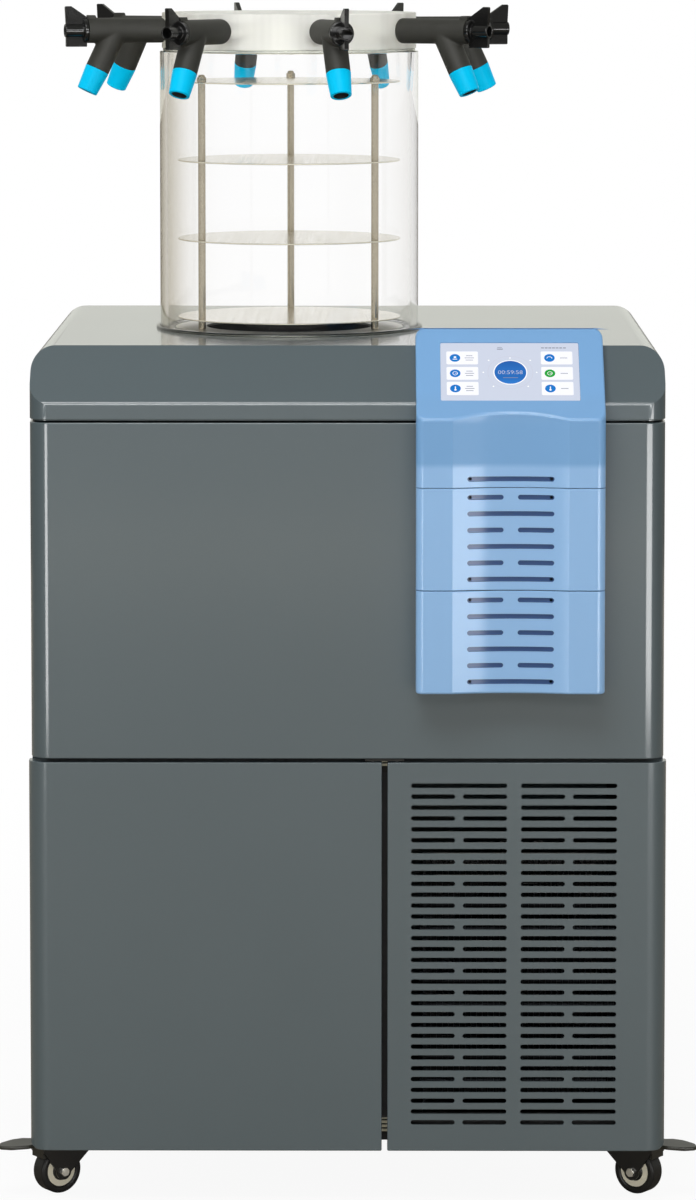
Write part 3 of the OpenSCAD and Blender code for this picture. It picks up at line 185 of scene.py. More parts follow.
class ValveSizes(bpy.types.PropertyGroup):
    """Sizes of the flask valves."""

    first: turn("First valve", "Angle of the first valve from the X axis", 15)
    height: length("Valve height", "Height of the valves' axes above the head's foot", 20.6 * MM)
    radius: length("Body radius", "Radius of a valve's body", 14 * MM)
    reach: length("Body length", "Length of a valve's body from the head", 88 * MM)
    stem: length("Stem radius", "Radius of the stem in the head", 9 * MM)
    branch_at: length("Branch place", "Distance from the head to the branch", 56 * MM)
    branch: length("Branch length", "Length of the branch from the valve's axis", 75 * MM)
    tilt: turn("Branch tilt", "Tilt of the branch from plumb", 26)
    sleeve: length("Sleeve length", "Length of the coloured outlet sleeve", 27 * MM)
    mouth: length("Mouth radius", "Radius of the outlet's mouth", 8.25 * MM)
    plug: length("Plug radius", "Radius of the plug that the knob turns", 8 * MM)
    plug_length: length("Plug length", "Length of the plug in the body", 36 * MM)
    flange: length("Flange radius", "Radius of the knob's flange", 13.5 * MM)
    knob: length("Knob length", "Length of the knob beyond its flange", 20.5 * MM)
    wing_up: length("Long wing", "Reach of the long wing", 27 * MM)
    wing_down: length("Short wing", "Reach of the short wing", 18 * MM)
    vane: length("Vane thickness", "Thickness of the knob's vane", 5 * MM)


class CasterSizes(bpy.types.PropertyGroup):
    """Sizes of the casters."""

    front_turn: turn("Front turn", "Turn of the front casters from straight outwards", 35)
    wheel: length("Wheel radius", "Radius of the wheels", 25 * MM)
    tread: length("Wheel width", "Width of the wheels", 21 * MM)
    trail: length("Trail", "Distance from the swivel axis to the axle", 22 * MM)
    leg: length("Leg thickness", "Thickness of the fork's legs", 3 * MM)
    leg_gap: length("Leg gap", "From the wheel to a leg", 1.5 * MM)
    crown: length("Crown height", "Height of the fork's crown above the floor", 56 * MM)
    pedal: length("Pedal reach", "Distance from the swivel axis to the pedal's tip", 95 * MM)
    pedal_width: length("Pedal width", "Half the width of the pedal's leaf", 18 * MM)


class DryerColours(bpy.types.PropertyGroup):
    """Colours of the finishes."""

    cabinet: colour("Cabinet paint", "Grey paint of the cabinet", (75, 88, 93))
    console_top: colour("Console top", "Blue of the console's upper shell", (122, 168, 214))
    console_front: colour("Console front", "Paler blue of the console's covers", (146, 188, 232))
    # Painted shade: the grooves' floors are darker because they lie in a recess.
    groove: colour("Groove", "Deep blue of the grooves' floors", (58, 88, 136))
    screen: colour("Screen", "Ground of the screen's image", (204, 211, 228))
    sleeve: colour("Sleeve", "Blue of the outlet sleeves", (0, 190, 236))
    valve: colour("Valve", "Charcoal of the valve bodies", (44, 44, 39))
    stainless: colour("Stainless", "Stainless steel of the shelves", (214, 209, 192))
    hub: colour("Wheel ring", "Cream ring of the wheels", (250, 244, 222))
    pedal: colour("Pedal", "Olive black of the brake pedals", (40, 39, 32))


class StageSettings(bpy.types.PropertyGroup):
    """Camera and light."""

    distance: length("Camera distance", "From the object's middle plane to the camera", 5.507)
    height: length("Camera height", "Height of the camera above the floor", 1.3702)
    side: length("Camera side", "How far right of the middle the camera stands", 0.0266)
    lens: bpy.props.FloatProperty(
        name="Lens", description="Focal length in millimetres", default=147.27, min=1.0,
    )
    shift: bpy.props.FloatProperty(
        name="Shift", description="Vertical shift of the lens", default=-0.2,
    )
    pitch: turn("Pitch", "How far the camera looks down", 4.949)
    yaw: turn("Yaw", "How far the camera looks left", 0.2853)
    ambient: bpy.props.FloatProperty(
        name="Ambient light", description="Strength of the surrounding light", default=0.28,
        min=0.0,
    )
    key: power("Key light", "Power of the main softbox", 74)
    fill: power("Fill light", "Power of each side softbox", 20)
    front: power("Front light", "Power of the soft lamp behind the camera", 128)
    crease: power("Crease light", "Power of the long strip above the camera", 56)
    strip: power("Strip light", "Power of the low front panels", 24)



def sizes():
    """The scene's settings for the object."""
    return bpy.context.scene.freeze_dryer


class DryerSettings(bpy.types.PropertyGroup):
    """All the sizes, colours and stage settings."""

    cabinet: bpy.props.PointerProperty(type=CabinetSizes)
    console: bpy.props.PointerProperty(type=ConsoleSizes)
    chamber: bpy.props.PointerProperty(type=ChamberSizes)
    valve: bpy.props.PointerProperty(type=ValveSizes)
    caster: bpy.props.PointerProperty(type=CasterSizes)
    colours: bpy.props.PointerProperty(type=DryerColours)
    stage: bpy.props.PointerProperty(type=StageSettings)


# ---- Modelling by hand ----


def settle():
    """Object mode with nothing selected."""
    if bpy.context.mode != "OBJECT":
        bpy.ops.object.mode_set(mode="OBJECT")
    bpy.ops.object.select_all(action="DESELECT")


def only(obj):
    settle()
    obj.select_set(True)
    bpy.context.view_layer.objects.active = obj


def bake_place(obj):
    """Moves the object's place, turn and scale into its mesh."""
    only(obj)
    bpy.ops.object.transform_apply(location=True, rotation=True, scale=True)


def begun(name):
    """Names the primitive just added and puts its place in its mesh."""
    obj = bpy.context.object
    obj.name = name
    obj.data.name = name
    bake_place(obj)
    return obj


def block(name, low, high):
    low, high = Vector(low), Vector(high)
    settle()
    bpy.ops.mesh.primitive_cube_add(size=1, location=(low + high) / 2, scale=high - low)
    return begun(name)


def rod(name, start, direction, radius, reach, sides=48, end_radius=None):
    """A round bar, or a cone where the end radius differs, from a start point."""
    direction = Vector(direction).normalized()
    settle()
    bpy.ops.mesh.primitive_cone_add(
        vertices=sides, radius1=radius, radius2=radius if end_radius is None else end_radius,
        depth=reach, location=Vector(start) + direction * reach / 2,
        rotation=direction.to_track_quat("Z", "Y").to_euler(),
    )
    return begun(name)


def pick(obj, kind, test):
    """Opens obj in edit mode with only the parts that pass the test selected."""
    only(obj)
    bpy.ops.object.mode_set(mode="EDIT")
    bpy.ops.mesh.select_mode(type=kind)
    bpy.ops.mesh.select_all(action="DESELECT")
    mesh = bmesh.from_edit_mesh(obj.data)
    parts = {"VERT": mesh.verts, "EDGE": mesh.edges, "FACE": mesh.faces}[kind]
    for part in parts:
        part.select_set(bool(test(part)))
    mesh.select_flush_mode()
    bmesh.update_edit_mesh(obj.data)


def leave():
    bpy.ops.object.mode_set(mode="OBJECT")


def on(part, **planes):
    """True if every corner of an edge or a face lies on the planes, such as z=0.93."""
    return all(
        abs(vert.co["xyz".index(axis)] - value) < NEAR
        for vert in part.verts
        for axis, value in planes.items()
    )


def round_edges(obj, test, radius, segments=4):
    pick(obj, "EDGE", test)
    bpy.ops.mesh.bevel(
        offset=radius, segments=segments, profile=0.5, affect="EDGES", clamp_overlap=False,
    )
    leave()


def point_outwards(obj):
    pick(obj, "FACE", lambda face: True)
    bpy.ops.mesh.normals_make_consistent(inside=False)
    leave()


def filleted(corners):
    """The points of an outline whose corners are (a, b, radius)."""
    points = []
    count = len(corners)
    for index, (a, b, radius) in enumerate(corners):
        here = Vector((a, b))
        before = (Vector(corners[index - 1][:2]) - here).normalized()
        after = (Vector(corners[(index + 1) % count][:2]) - here).normalized()
        if radius <= 0:
            points.append(here)
            continue
        half = before.angle(after) / 2
        centre = here + (before + after).normalized() * radius / math.sin(half)
        first = here + before * radius / math.tan(half) - centre
        last = here + after * radius / math.tan(half) - centre
        sweep = first.angle_signed(last)
        steps = max(2, round(abs(sweep) / ARC_STEP))
        for step in range(steps + 1):
            part = first.copy()
            part.rotate(Matrix.Rotation(-sweep * step / steps, 2))
            points.append(centre + part)
    return points


def ring_of(name, points):
    """A closed loop of edges through the points, from a circle whose corners are moved."""
    settle()
    bpy.ops.mesh.primitive_circle_add(vertices=len(points), radius=1)
    obj = begun(name)
    for vert, point in zip(obj.data.vertices, points):
        vert.co = point
    return obj


def prism(name, corners, axis, low, high):
    """An outline pushed along an axis from low to high."""
    lift = {
        "X": lambda a, b: (low, a, b),
        "Y": lambda a, b: (a, low, b),
        "Z": lambda a, b: (a, b, low),
    }[axis]
    obj = ring_of(name, [lift(*point) for point in filleted(corners)])
    pick(obj, "EDGE", lambda edge: True)
    bpy.ops.mesh.edge_face_add()
    push = [0.0, 0.0, 0.0]
    push["XYZ".index(axis)] = high - low
    bpy.ops.mesh.extrude_region_move(TRANSFORM_OT_translate={"value": push})
    leave()
    point_outwards(obj)
    return obj


def hexagon(radius, first=0):
    """Corners of a hexagon about the axis, the first one turned by some degrees."""
    turns = [math.radians(60 * number + first) for number in range(6)]
    return [(radius * math.cos(turned), radius * math.sin(turned), 0) for turned in turns]


def rectangle(low_a, low_b, high_a, high_b, radii):
    """Corners of a rectangle: low left, low right, high right, high left."""
    return [
        (low_a, low_b, radii[0]), (high_a, low_b, radii[1]),
        (high_a, high_b, radii[2]), (low_a, high_b, radii[3]),
    ]


def lathe(name, corners, steps=96):
    """A solid of revolution about Z from a closed outline of (radius, height, fillet)."""
    points = [Vector((max(a, 0.0), 0, b)) for a, b in filleted(corners)]
    obj = ring_of(name, points)
    pick(obj, "EDGE", lambda edge: on(edge, x=0))
    bpy.ops.mesh.delete(type="EDGE")
    bpy.ops.mesh.select_all(action="SELECT")
    bpy.ops.mesh.spin(steps=steps, angle=2 * math.pi, center=(0, 0, 0), axis=(0, 0, 1))
    bpy.ops.mesh.select_all(action="SELECT")
    bpy.ops.mesh.remove_doubles(threshold=NEAR)
    leave()
    point_outwards(obj)
    return obj


def moved(obj, matrix):
    obj.matrix_world = matrix
    bake_place(obj)
    return obj


def copy_of(obj, name, matrix):
    """A copy with its own mesh, put in place."""
    twin = obj.copy()
    twin.data = obj.data.copy()
    twin.name = name
    bpy.context.scene.collection.objects.link(twin)
    return moved(twin, matrix)


def placed(obj, name, place, body, slot, material, degrees=30, node=None):
    """A finished copy of a part at a place; it stands for its own node, if it has one."""
    twin = copy_of(obj, name, place)
    shade(twin, degrees)
    piece(twin, body, slot, material, stands_for=[node] if node else [])


def discard(*objects):
    for obj in objects:
        bpy.data.objects.remove(obj)


def joined(name, objects):
    settle()
    for obj in objects:
        obj.select_set(True)
    bpy.context.view_layer.objects.active = objects[0]
    if len(objects) > 1:
        bpy.ops.object.join()
    objects[0].name = name
    return objects[0]


def modify(obj, kind, **settings):
    """Adds a modifier, sets it and applies it."""
    only(obj)
    bpy.ops.object.modifier_add(type=kind)
    modifier = obj.modifiers[-1]
    for key, value in settings.items():
        setattr(modifier, key, value)
    bpy.ops.object.modifier_apply(modifier=modifier.name)


def carve(obj, operation, *tools):
    """Boolean work with tools that are used up."""
    for tool in tools:
        modify(obj, "BOOLEAN", operation=operation, object=tool, solver="EXACT")
        discard(tool)
    return obj


def shade(obj, degrees=30):
    only(obj)
    bpy.ops.object.shade_smooth_by_angle(angle=math.radians(degrees), keep_sharp_edges=False)
    modify(obj, "WEIGHTED_NORMAL", keep_sharp=True)


def piece(obj, body, slot, *materials, stands_for=()):
    """A finished piece: parented to what it rides on, with the nodes it stands for hidden and its
    materials given.
    """
    if materials:
        obj.data.materials.clear()
        for material in materials:
            obj.data.materials.append(material)
    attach(obj, body)
    if stands_for:
        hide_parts(*stands_for)
    return obj


# ---- Shader maths and finishes ----


class Value:
    """A socket that carries a number; Python's operators add Math nodes."""

    def __init__(self, finish, socket):
        self.finish = finish
        self.socket = socket

    def maths(self, operation, *terms):
        node = self.finish.add("ShaderNodeMath", {"operation": operation}, dict(enumerate(terms)))
        return Value(self.finish, node.outputs[0])

    def __add__(self, other):
        return self.maths("ADD", self, other)

    def __radd__(self, other):
        return self.maths("ADD", other, self)

    def __sub__(self, other):
        return self.maths("SUBTRACT", self, other)

    def __rsub__(self, other):
        return self.maths("SUBTRACT", other, self)

    def __mul__(self, other):
        return self.maths("MULTIPLY", self, other)

    def __truediv__(self, other):
        return self.maths("DIVIDE", self, other)

    def __pow__(self, other):
        return self.maths("POWER", self, other)

    def __gt__(self, other):
        return self.maths("GREATER_THAN", self, other)

    def __lt__(self, other):
        return self.maths("LESS_THAN", self, other)

    def at_least(self, other):
        return self.maths("MAXIMUM", self, other)

    def at_most(self, other):
        return self.maths("MINIMUM", self, other)

    def clamped(self):
        """Held between 0 and 1."""
        return self.at_least(0.0).at_most(1.0)

    def size(self):
        return self.maths("ABSOLUTE", self)

    def sine(self):
        return self.maths("SINE", self)

    def root(self):
        return self.maths("SQRT", self)


class Shading:
    """The nodes of a material or of the world, under construction."""

    def __init__(self, owner, output):
        owner.use_nodes = True
        self.owner = owner
        self.tree = owner.node_tree
        self.tree.nodes.clear()
        self.output = self.tree.nodes.new(output)

    def add(self, kind, settings=None, inputs=None):
        """A node of a type with its settings made first, then its inputs set or linked."""
        node = self.tree.nodes.new(kind)
        for key, value in (settings or {}).items():
            setattr(node, key, value)
        for key, value in (inputs or {}).items():
            socket = node.inputs[key]
            if isinstance(value, Value):
                value = value.socket
            if isinstance(value, bpy.types.NodeSocket):
                self.tree.links.new(value, socket)
            elif socket.type == "RGBA":
                socket.default_value = (*value, 1.0)[:4]
            else:
                socket.default_value = value
        return node

    def blend(self, share, first, second):
        """A colour between two colours."""
        node = self.add(
            "ShaderNodeMix", {"data_type": "RGBA", "clamp_factor": True},
            {"Factor": share, 6: first, 7: second},
        )
        return node.outputs[2]

    def mixed(self, share, first, second):
        """A shader between two shaders."""
        return self.add("ShaderNodeMixShader", inputs={0: share, 1: first, 2: second}).outputs[0]

    def done(self, shader):
        self.tree.links.new(shader, self.output.inputs["Surface"])
        return self.owner


class Finish(Shading):
    """A procedural material under construction, on Object coordinates."""

    def __init__(self, name):
        super().__init__(bpy.data.materials.new(name), "ShaderNodeOutputMaterial")
        self.place = self.add("ShaderNodeTexCoord").outputs["Object"]

    def axes(self):
        """The X, Y and Z of the place, each as a number."""
        parts = self.add("ShaderNodeSeparateXYZ", inputs={0: self.place})
        return [Value(self, parts.outputs[index]) for index in range(3)]

    def stretched(self, scale):
        """The place with each axis scaled, for grain that runs along one of them."""
        return self.add(
            "ShaderNodeMapping", {"vector_type": "POINT"},
            {"Vector": self.place, "Scale": scale},
        ).outputs[0]

    def noise(self, scale, detail=2.0, roughness=0.5, place=None):
        node = self.add(
            "ShaderNodeTexNoise", {"noise_dimensions": "3D"},
            {
                "Vector": place or self.place, "Scale": scale, "Detail": detail,
                "Roughness": roughness,
            },
        )
        return Value(self, node.outputs[0])

    def varied(self, rgb, amount, scale, detail=3.0):
        """The colour a little darker and lighter from place to place."""
        dark = tuple(channel * (1 - amount) for channel in rgb)
        light = tuple(min(channel * (1 + amount), 1.0) for channel in rgb)
        return self.blend(self.noise(scale, detail), dark, light)

    def bump(self, height, distance, strength=1.0):
        return self.add(
            "ShaderNodeBump", inputs={
                "Height": height, "Distance": distance, "Strength": strength,
            },
        ).outputs[0]

    def surface(self, **inputs):
        """The main shader; names are its sockets' names with underscores."""
        named = {key.replace("_", " "): value for key, value in inputs.items()}
        return self.add("ShaderNodeBsdfPrincipled", inputs=named).outputs[0]


def cached(make):
    """Keeps one copy of each finish."""
    made = {}

    def get(*arguments):
        key = (make.__name__, arguments)
        if key not in made:
            made[key] = make(*arguments)
        return made[key]

    return get


@cached
def cabinet_paint():
    """Smooth stoved enamel with a faint orange peel and a clear gloss."""
    f = Finish("cabinet_paint")
    peel = f.noise(420, 2.0, 0.4) * 0.7 + f.noise(1500, 1.0, 0.5) * 0.3
    rough = 0.42 + f.noise(9, 3.0) * 0.09
    base = f.varied(tuple(sizes().colours.cabinet), 0.03, 5)
    return f.done(f.surface(
        Base_Color=base, Roughness=rough, Normal=f.bump(peel, 0.00002, 0.4),
        Coat_Weight=1.0, Coat_Roughness=0.11,
    ))


@cached
def moulded_plastic(name, rgb, rough=0.42, grain=0.00003):
    """Injection-moulded plastic with a fine spark-eroded grain."""
    f = Finish(name)
    grains = f.noise(2400, 2.0, 0.6)
    return f.done(f.surface(
        Base_Color=f.varied(rgb, 0.025, 14), Roughness=rough + (f.noise(30, 3.0) - 0.5) * 0.1,
        Normal=f.bump(grains, grain, 0.5),
    ))


@cached
def rubber(name, rgb, rough=0.55):
    """Moulded rubber: a dull skin with a slight bloom in patches."""
    f = Finish(name)
    bloom = f.noise(60, 4.0, 0.6)
    pale = tuple(channel + 0.02 for channel in rgb)
    return f.done(f.surface(
        Base_Color=f.blend(bloom, rgb, pale), Roughness=rough + bloom * 0.12,
        Specular_IOR_Level=0.25,
        Normal=f.bump(f.noise(1800, 2.0), 0.00003, 0.4),
    ))


@cached
def steel(name, rgb, rough=0.22, stretch=(1, 1, 1), scale=300):
    """Metal with brushing stretched along one axis."""
    f = Finish(name)
    brushed = f.noise(scale, 2.0, 0.6, f.stretched(stretch))
    return f.done(f.surface(
        Base_Color=f.varied(rgb, 0.04, 20), Metallic=1.0, Roughness=rough + (brushed - 0.5) * 0.18,
        Normal=f.bump(brushed, 0.00001, 0.3),
    ))


@cached
def painted_metal(name, rgb, rough=0.5):
    """Powder coat with a pebbled skin."""
    f = Finish(name)
    pebbles = f.noise(900, 2.0, 0.5)
    return f.done(f.surface(
        Base_Color=f.varied(rgb, 0.06, 12), Roughness=rough + (f.noise(25, 3.0) - 0.5) * 0.16,
        Normal=f.bump(pebbles, 0.00006, 0.6),
    ))


@cached
def fins(name, rgb):
    """Rolled aluminium fins with a streaky dull surface."""
    f = Finish(name)
    streak = f.noise(260, 3.0, 0.6, f.stretched((1, 1, 0.08)))
    return f.done(f.surface(
        Base_Color=f.varied(rgb, 0.08, 40), Metallic=1.0, Roughness=0.34 + streak * 0.2,
        Normal=f.bump(streak, 0.00002, 0.4),
    ))


@cached
def clear_acrylic(name, rgb, haze, clearness=1.0, mirror=0.15, bending=1.49, glint_strength=0.0):
    """Polished acrylic; lamp rays pass straight through. Bright upright bands are painted glints,
    and the sides left and right of the chamber's axis are tinted with painted shade, more on the
    left.
    """
    f = Finish(name)
    faint = f.noise(7, 2.0)
    across = f.axes()[0] - chamber_centre().x
    reach = half_width("chamber_cylinder")
    # Painted shade: the chamber's sides, seen either side of its axis, are tinted darker and
    # warmer, more on the left.
    edge_shade = (across.size() / reach).at_most(1.0) ** 8 * (0.6 - across * (0.45 / reach))
    # Painted glints: upright bands at full brightness between dimmer ones, by the given strength.
    upright = f.noise(30, 2.0, 0.5, f.stretched((1, 1, 0.02)))
    between_glints = tuple(channel * (1 - glint_strength) for channel in rgb)
    glint_banded = f.blend((upright - 0.4) * 5, between_glints, rgb)
    pane = f.surface(
        Base_Color=f.blend(edge_shade, glint_banded, tone(197, 190, 172)),
        Roughness=haze + faint * 0.004, IOR=bending, Transmission_Weight=clearness,
        Specular_IOR_Level=mirror,
        Normal=f.bump(f.noise(30, 1.0), 0.00001, 0.1),
    )
    clear = f.add("ShaderNodeBsdfTransparent", inputs={"Color": rgb}).outputs[0]
    path = f.add("ShaderNodeLightPath").outputs["Is Shadow Ray"]
    return f.done(f.mixed(path, pane, clear))


@cached
def silicone_painted_glow(rgb):
    """Translucent silicone with a painted glow: an emission in its own colour stands in for the
    light that enters it.
    """
    f = Finish("sleeve_rubber")
    tint = f.varied(rgb, 0.04, 40)
    return f.done(f.surface(
        Base_Color=tint, Roughness=0.36 + f.noise(60, 3.0) * 0.08, Specular_IOR_Level=0.06,
        # Painted glow: an emission in the sleeve's own colour.
        Emission_Color=tint, Emission_Strength=0.12,
    ))


# Share of the screen image's colours that no outside light brings out
SCREEN_DARK = 0.85
# Strength of the screen image's own light
SCREEN_GLOW = 0.9


@cached
def lit_image(name, rgb):
    """Part of the lit screen image, with the faint grid of its cells."""
    f = Finish(name)
    across, _, _ = f.axes()
    cells = (across * 5200).sine() * 0.012 + 1
    shown = f.add(
        "ShaderNodeVectorMath", {"operation": "SCALE"}, {0: rgb, "Scale": cells},
    ).outputs[0]
    return f.done(f.surface(
        Base_Color=f.blend(SCREEN_DARK, shown, (0, 0, 0)),
        Roughness=0.16 + f.noise(50, 2.0) * 0.04, Emission_Color=shown,
        Emission_Strength=SCREEN_GLOW,
    ))


# ---- Cabinet ----


def sharp(edge, degrees):
    return edge.calc_face_angle(0.0) > math.radians(degrees)


def pan_body(name, low, high, inset, front_radii, low_radii, far):
    """The solid form of a folded pan: rounded in plan, and in the front view at the bottom."""
    plan = [max(radius - inset, 0.0) for radius in front_radii]
    front = [max(radius - inset, 0.0) for radius in low_radii]
    left, right = low.x + inset, high.x - inset
    bottom, top = low.z + inset, high.z - inset
    body = prism(
        name, rectangle(left, low.y + inset, right, far, (*plan, 0, 0)), "Z", bottom, top,
    )
    if any(front):
        outline = rectangle(left, bottom, right, top, (*front, 0, 0))
        carve(body, "INTERSECT", prism("front_form", outline, "Y", low.y - inset, far + inset))
    return body


def folded_pan(name, node, front_radii, low_radii=(0, 0)):
    """A sheet pan with its rear open and a small radius along its folds."""
    s = sizes().cabinet
    low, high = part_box(node)
    pan = pan_body(name, low, high, 0, front_radii, low_radii, high.y)
    round_edges(pan, lambda edge: sharp(edge, 50) and not on(edge, y=high.y), s.hem, 3)
    room = pan_body("room", low, high, s.sheet, front_radii, low_radii, high.y + s.sheet)
    return carve(pan, "DIFFERENCE", room)


class DRYER_OT_top_cover(bpy.types.Operator):
    """Make the top cover with its slanted front and rounded sides"""

    bl_idname = "dryer.top_cover"
    bl_label = "Top cover"
    bl_options = {"REGISTER", "UNDO"}

    def form(self, inset):
        """The cover's outer form, or its inner one where inset is its wall."""
        s = sizes().cabinet
        low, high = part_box("top_cover")
        left, right = low.x + inset, high.x - inset
        front, rear = low.y + inset, high.y - inset
        bottom, top = low.z - (MM if inset else 0), high.z - inset
        rise = high.z - low.z - s.skirt
        lean = math.atan2(rise, s.slant)
        skirt_top = low.z + s.skirt - inset * math.tan((math.pi / 2 - lean) / 2)
        deck_front = low.y + s.slant + inset * math.tan(lean / 2)
        corner, back = s.cover_corner - inset, s.cover_rear - inset
        body = prism(
            "top_cover", rectangle(left, front, right, rear, (corner, corner, back, back)),
            "Z", bottom, top,
        )
        side = [
            (front, bottom, 0), (rear, bottom, 0), (rear, top, 0),
            (deck_front, top, s.deck_crease), (front, skirt_top, s.skirt_crease - inset),
        ]
        edge = s.cover_side - inset
        section = rectangle(left, bottom, right, top, (0, 0, edge, edge))
        return carve(
            body, "INTERSECT", prism("side_form", side, "X", left, right),
            prism("front_form", section, "Y", front, rear),
        )

    def execute(self, context):
        s = sizes().cabinet
        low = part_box("top_cover")[0]
        cover = self.form(0)
        round_edges(cover, lambda edge: on(edge, z=low.z), 0.8 * MM, 2)
        foot = chamber_centre()
        hole = rod("hole", (foot.x, foot.y, low.z), (0, 0, 1), s.trap_hole, 0.1, 128)
        carve(cover, "DIFFERENCE", self.form(s.cover_wall), hole)
        shade(cover, 20)
        piece(cover, CABINET, "cabinet_paint", cabinet_paint(), stands_for=["top_cover"])
        return {"FINISHED"}


# Radius of the hole behind the console for the screen's leads
CABLE_HOLE = 20 * MM


class DRYER_OT_front_panel(bpy.types.Operator):
    """Make the upper front panel"""

    bl_idname = "dryer.front_panel"
    bl_label = "Upper front panel"
    bl_options = {"REGISTER", "UNDO"}

    def execute(self, context):
        s = sizes().cabinet
        panel = folded_pan("upper_front_panel", "upper_front_panel", (s.corner, s.corner))
        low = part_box("upper_front_panel")[0]
        shell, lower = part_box("console_shell"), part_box("console_lower_cover")
        middle = (shell[0].x + shell[1].x) / 2
        hole = rod(
            "hole", (middle, low.y - MM, lower[1].z), (0, 1, 0), CABLE_HOLE, s.sheet + 3 * MM,
        )
        carve(panel, "DIFFERENCE", hole)
        shade(panel, 20)
        piece(
            panel, CABINET, "cabinet_paint", cabinet_paint(), stands_for=["upper_front_panel"],
        )
        return {"FINISHED"}


def slot_cutter(name, reach, height, depth):
    """A slot with round ends, centred, pushed along Y."""
    half, end = reach / 2, height / 2
    return prism(name, rectangle(-half, -end, half, end, (end * 0.999,) * 4), "Y", 0, depth)


def slot_rows(places, reach, height, bridge, depth):
    """Slots at (place, split) as one tool; a split slot is two halves with a bridge."""
    part = (reach - bridge) / 2
    full = slot_cutter("full_slot", reach, height, depth)
    half = slot_cutter("half_slot", part, height, depth)
    slots = []
    for place, split in places:
        place = Vector(place)
        if split:
            for side in (-1, 1):
                shifted = place + Vector((side * (part + bridge) / 2, 0, 0))
                slots.append(copy_of(half, "slot", Matrix.Translation(shifted)))
        else:
            slots.append(copy_of(full, "slot", Matrix.Translation(place)))
    discard(full, half)
    return joined("slots", slots)


# The hinge edge of a door, in millimetres from its lower front corner there.
# Blocks inside the pan: near and far in X, near and far in Y
HINGE_BLOCK = (1.5, 17.5, 1.5, 15.5)
# Heights of the lowest block's foot, of the notch for the bracket and of the second block's top
BLOCK_FOOT, NOTCH_FOOT, NOTCH_TOP, BLOCK_TOP = 1.9, 10, 32, 42
# Height of the block at the top, and the pin's place in X and Y and its hole's radius
TOP_BLOCK = 17
PIN_X, PIN_Y, PIN_HOLE = 10, 8, 3.05


class DRYER_OT_doors(bpy.types.Operator):
    """Make the two doors with their hinge blocks and the right door's louvres"""

    bl_idname = "dryer.doors"
    bl_label = "Doors"
    bl_options = {"REGISTER", "UNDO"}

    def hinge_side(self, door, node, way):
        """Blocks, notch and pin holes at the hinge edge; way points from it to the outer edge."""
        low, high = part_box(node)
        edge_x = low.x if way > 0 else high.x

        def span(near_x, far_x, near_y, far_y, near_z, far_z):
            ends = sorted((edge_x + way * near_x * MM, edge_x + way * far_x * MM))
            return block(
                "part", (ends[0], low.y + near_y * MM, low.z + near_z * MM),
                (ends[1], low.y + far_y * MM, low.z + far_z * MM),
            )

        def pin_hole(start, reach):
            pin = (edge_x + way * PIN_X * MM, low.y + PIN_Y * MM, low.z + start * MM)
            return rod("pin_hole", pin, (0, 0, 1), PIN_HOLE * MM, reach * MM, 32)

        tall = (high.z - low.z) / MM
        carve(
            door, "UNION", span(*HINGE_BLOCK, BLOCK_FOOT, NOTCH_FOOT),
            span(*HINGE_BLOCK, NOTCH_TOP, BLOCK_TOP),
            span(*HINGE_BLOCK, tall - TOP_BLOCK, tall - BLOCK_FOOT),
        )
        carve(
            door, "DIFFERENCE", span(-1, 18, 2, 30, NOTCH_FOOT, NOTCH_TOP), pin_hole(3, 52),
            pin_hole(tall - TOP_BLOCK + 1, 20),
        )

    def louvre_cutter(self):
        s = sizes().cabinet
        low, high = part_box("right_door")
        reach = (high.x - low.x - s.slot_inner - s.slot_outer - s.slot_gap) / 2
        places = []
        for row in range(s.slot_rows):
            for column in range(2):
                place = (
                    low.x + s.slot_inner + reach / 2 + column * (reach + s.slot_gap),
                    low.y - MM, low.z + s.slot_low + row * s.slot_pitch,
                )
                places.append((place, row % 2 == 0))
        return slot_rows(places, reach, s.slot_height, s.slot_bridge, 2 * MM + s.sheet)

    def execute(self, context):
        s = sizes().cabinet
        doors = (
            ("left_door", -1, (s.corner, 0), (s.door_corner, 0)),
            ("right_door", 1, (0, s.corner), (0, s.door_corner)),
        )
        for node, way, front_radii, low_radii in doors:
            door = folded_pan(node, node, front_radii, low_radii)
            self.hinge_side(door, node, way)
            if node == "right_door":
                carve(door, "DIFFERENCE", self.louvre_cutter())
            shade(door, 20)
            piece(door, node, "cabinet_paint", cabinet_paint(), stands_for=[node])
        return {"FINISHED"}


# ---- Console ----


def console_plan(name, inset, low_z, high_z, back):
    """The console in plan, with the hollow down its front, as an upright form."""
    s = sizes().console
    low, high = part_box("console_shell")
    corner = s.corner - inset
    body = prism(
        name,
        rectangle(low.x + inset, low.y + inset, high.x - inset, back, (corner, corner, 0, 0)),
        "Z", low_z, high_z,
    )
    bend = hollow_radius()
    middle = (low.x + high.x) / 2
    scoop = rod(
        "scoop", (middle, low.y + s.scoop_depth - bend, low_z - MM), (0, 0, 1), bend + inset,
        high_z - low_z + 2 * MM, 360,
    )
    return carve(body, "DIFFERENCE", scoop)


def console_grooves(rows, low_z, high_z):
    """Grooves and fixing holes at (height, split, with holes) as one cutting tool."""
    s = sizes().console
    low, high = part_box("console_shell")
    middle = (low.x + high.x) / 2
    places = [((middle, low.y - MM, height), split) for height, split, _ in rows]
    grooves = slot_rows(
        places, s.groove_length, s.groove_height, s.groove_bridge, s.wall + s.scoop_depth,
    )
    floor = console_plan("floor", s.groove_depth, low_z, high_z, low.y + 40 * MM)
    carve(grooves, "DIFFERENCE", floor)
    holes = [
        rod(
            "hole",
            (middle + side * (s.groove_length / 2 - s.hole_inset), low.y - MM, height),
            (0, 1, 0), s.hole, s.wall + 20 * MM, 16,
        )
        for height, _, holed in rows if holed
        for side in (-1, 1)
    ]
    return [grooves, *holes]


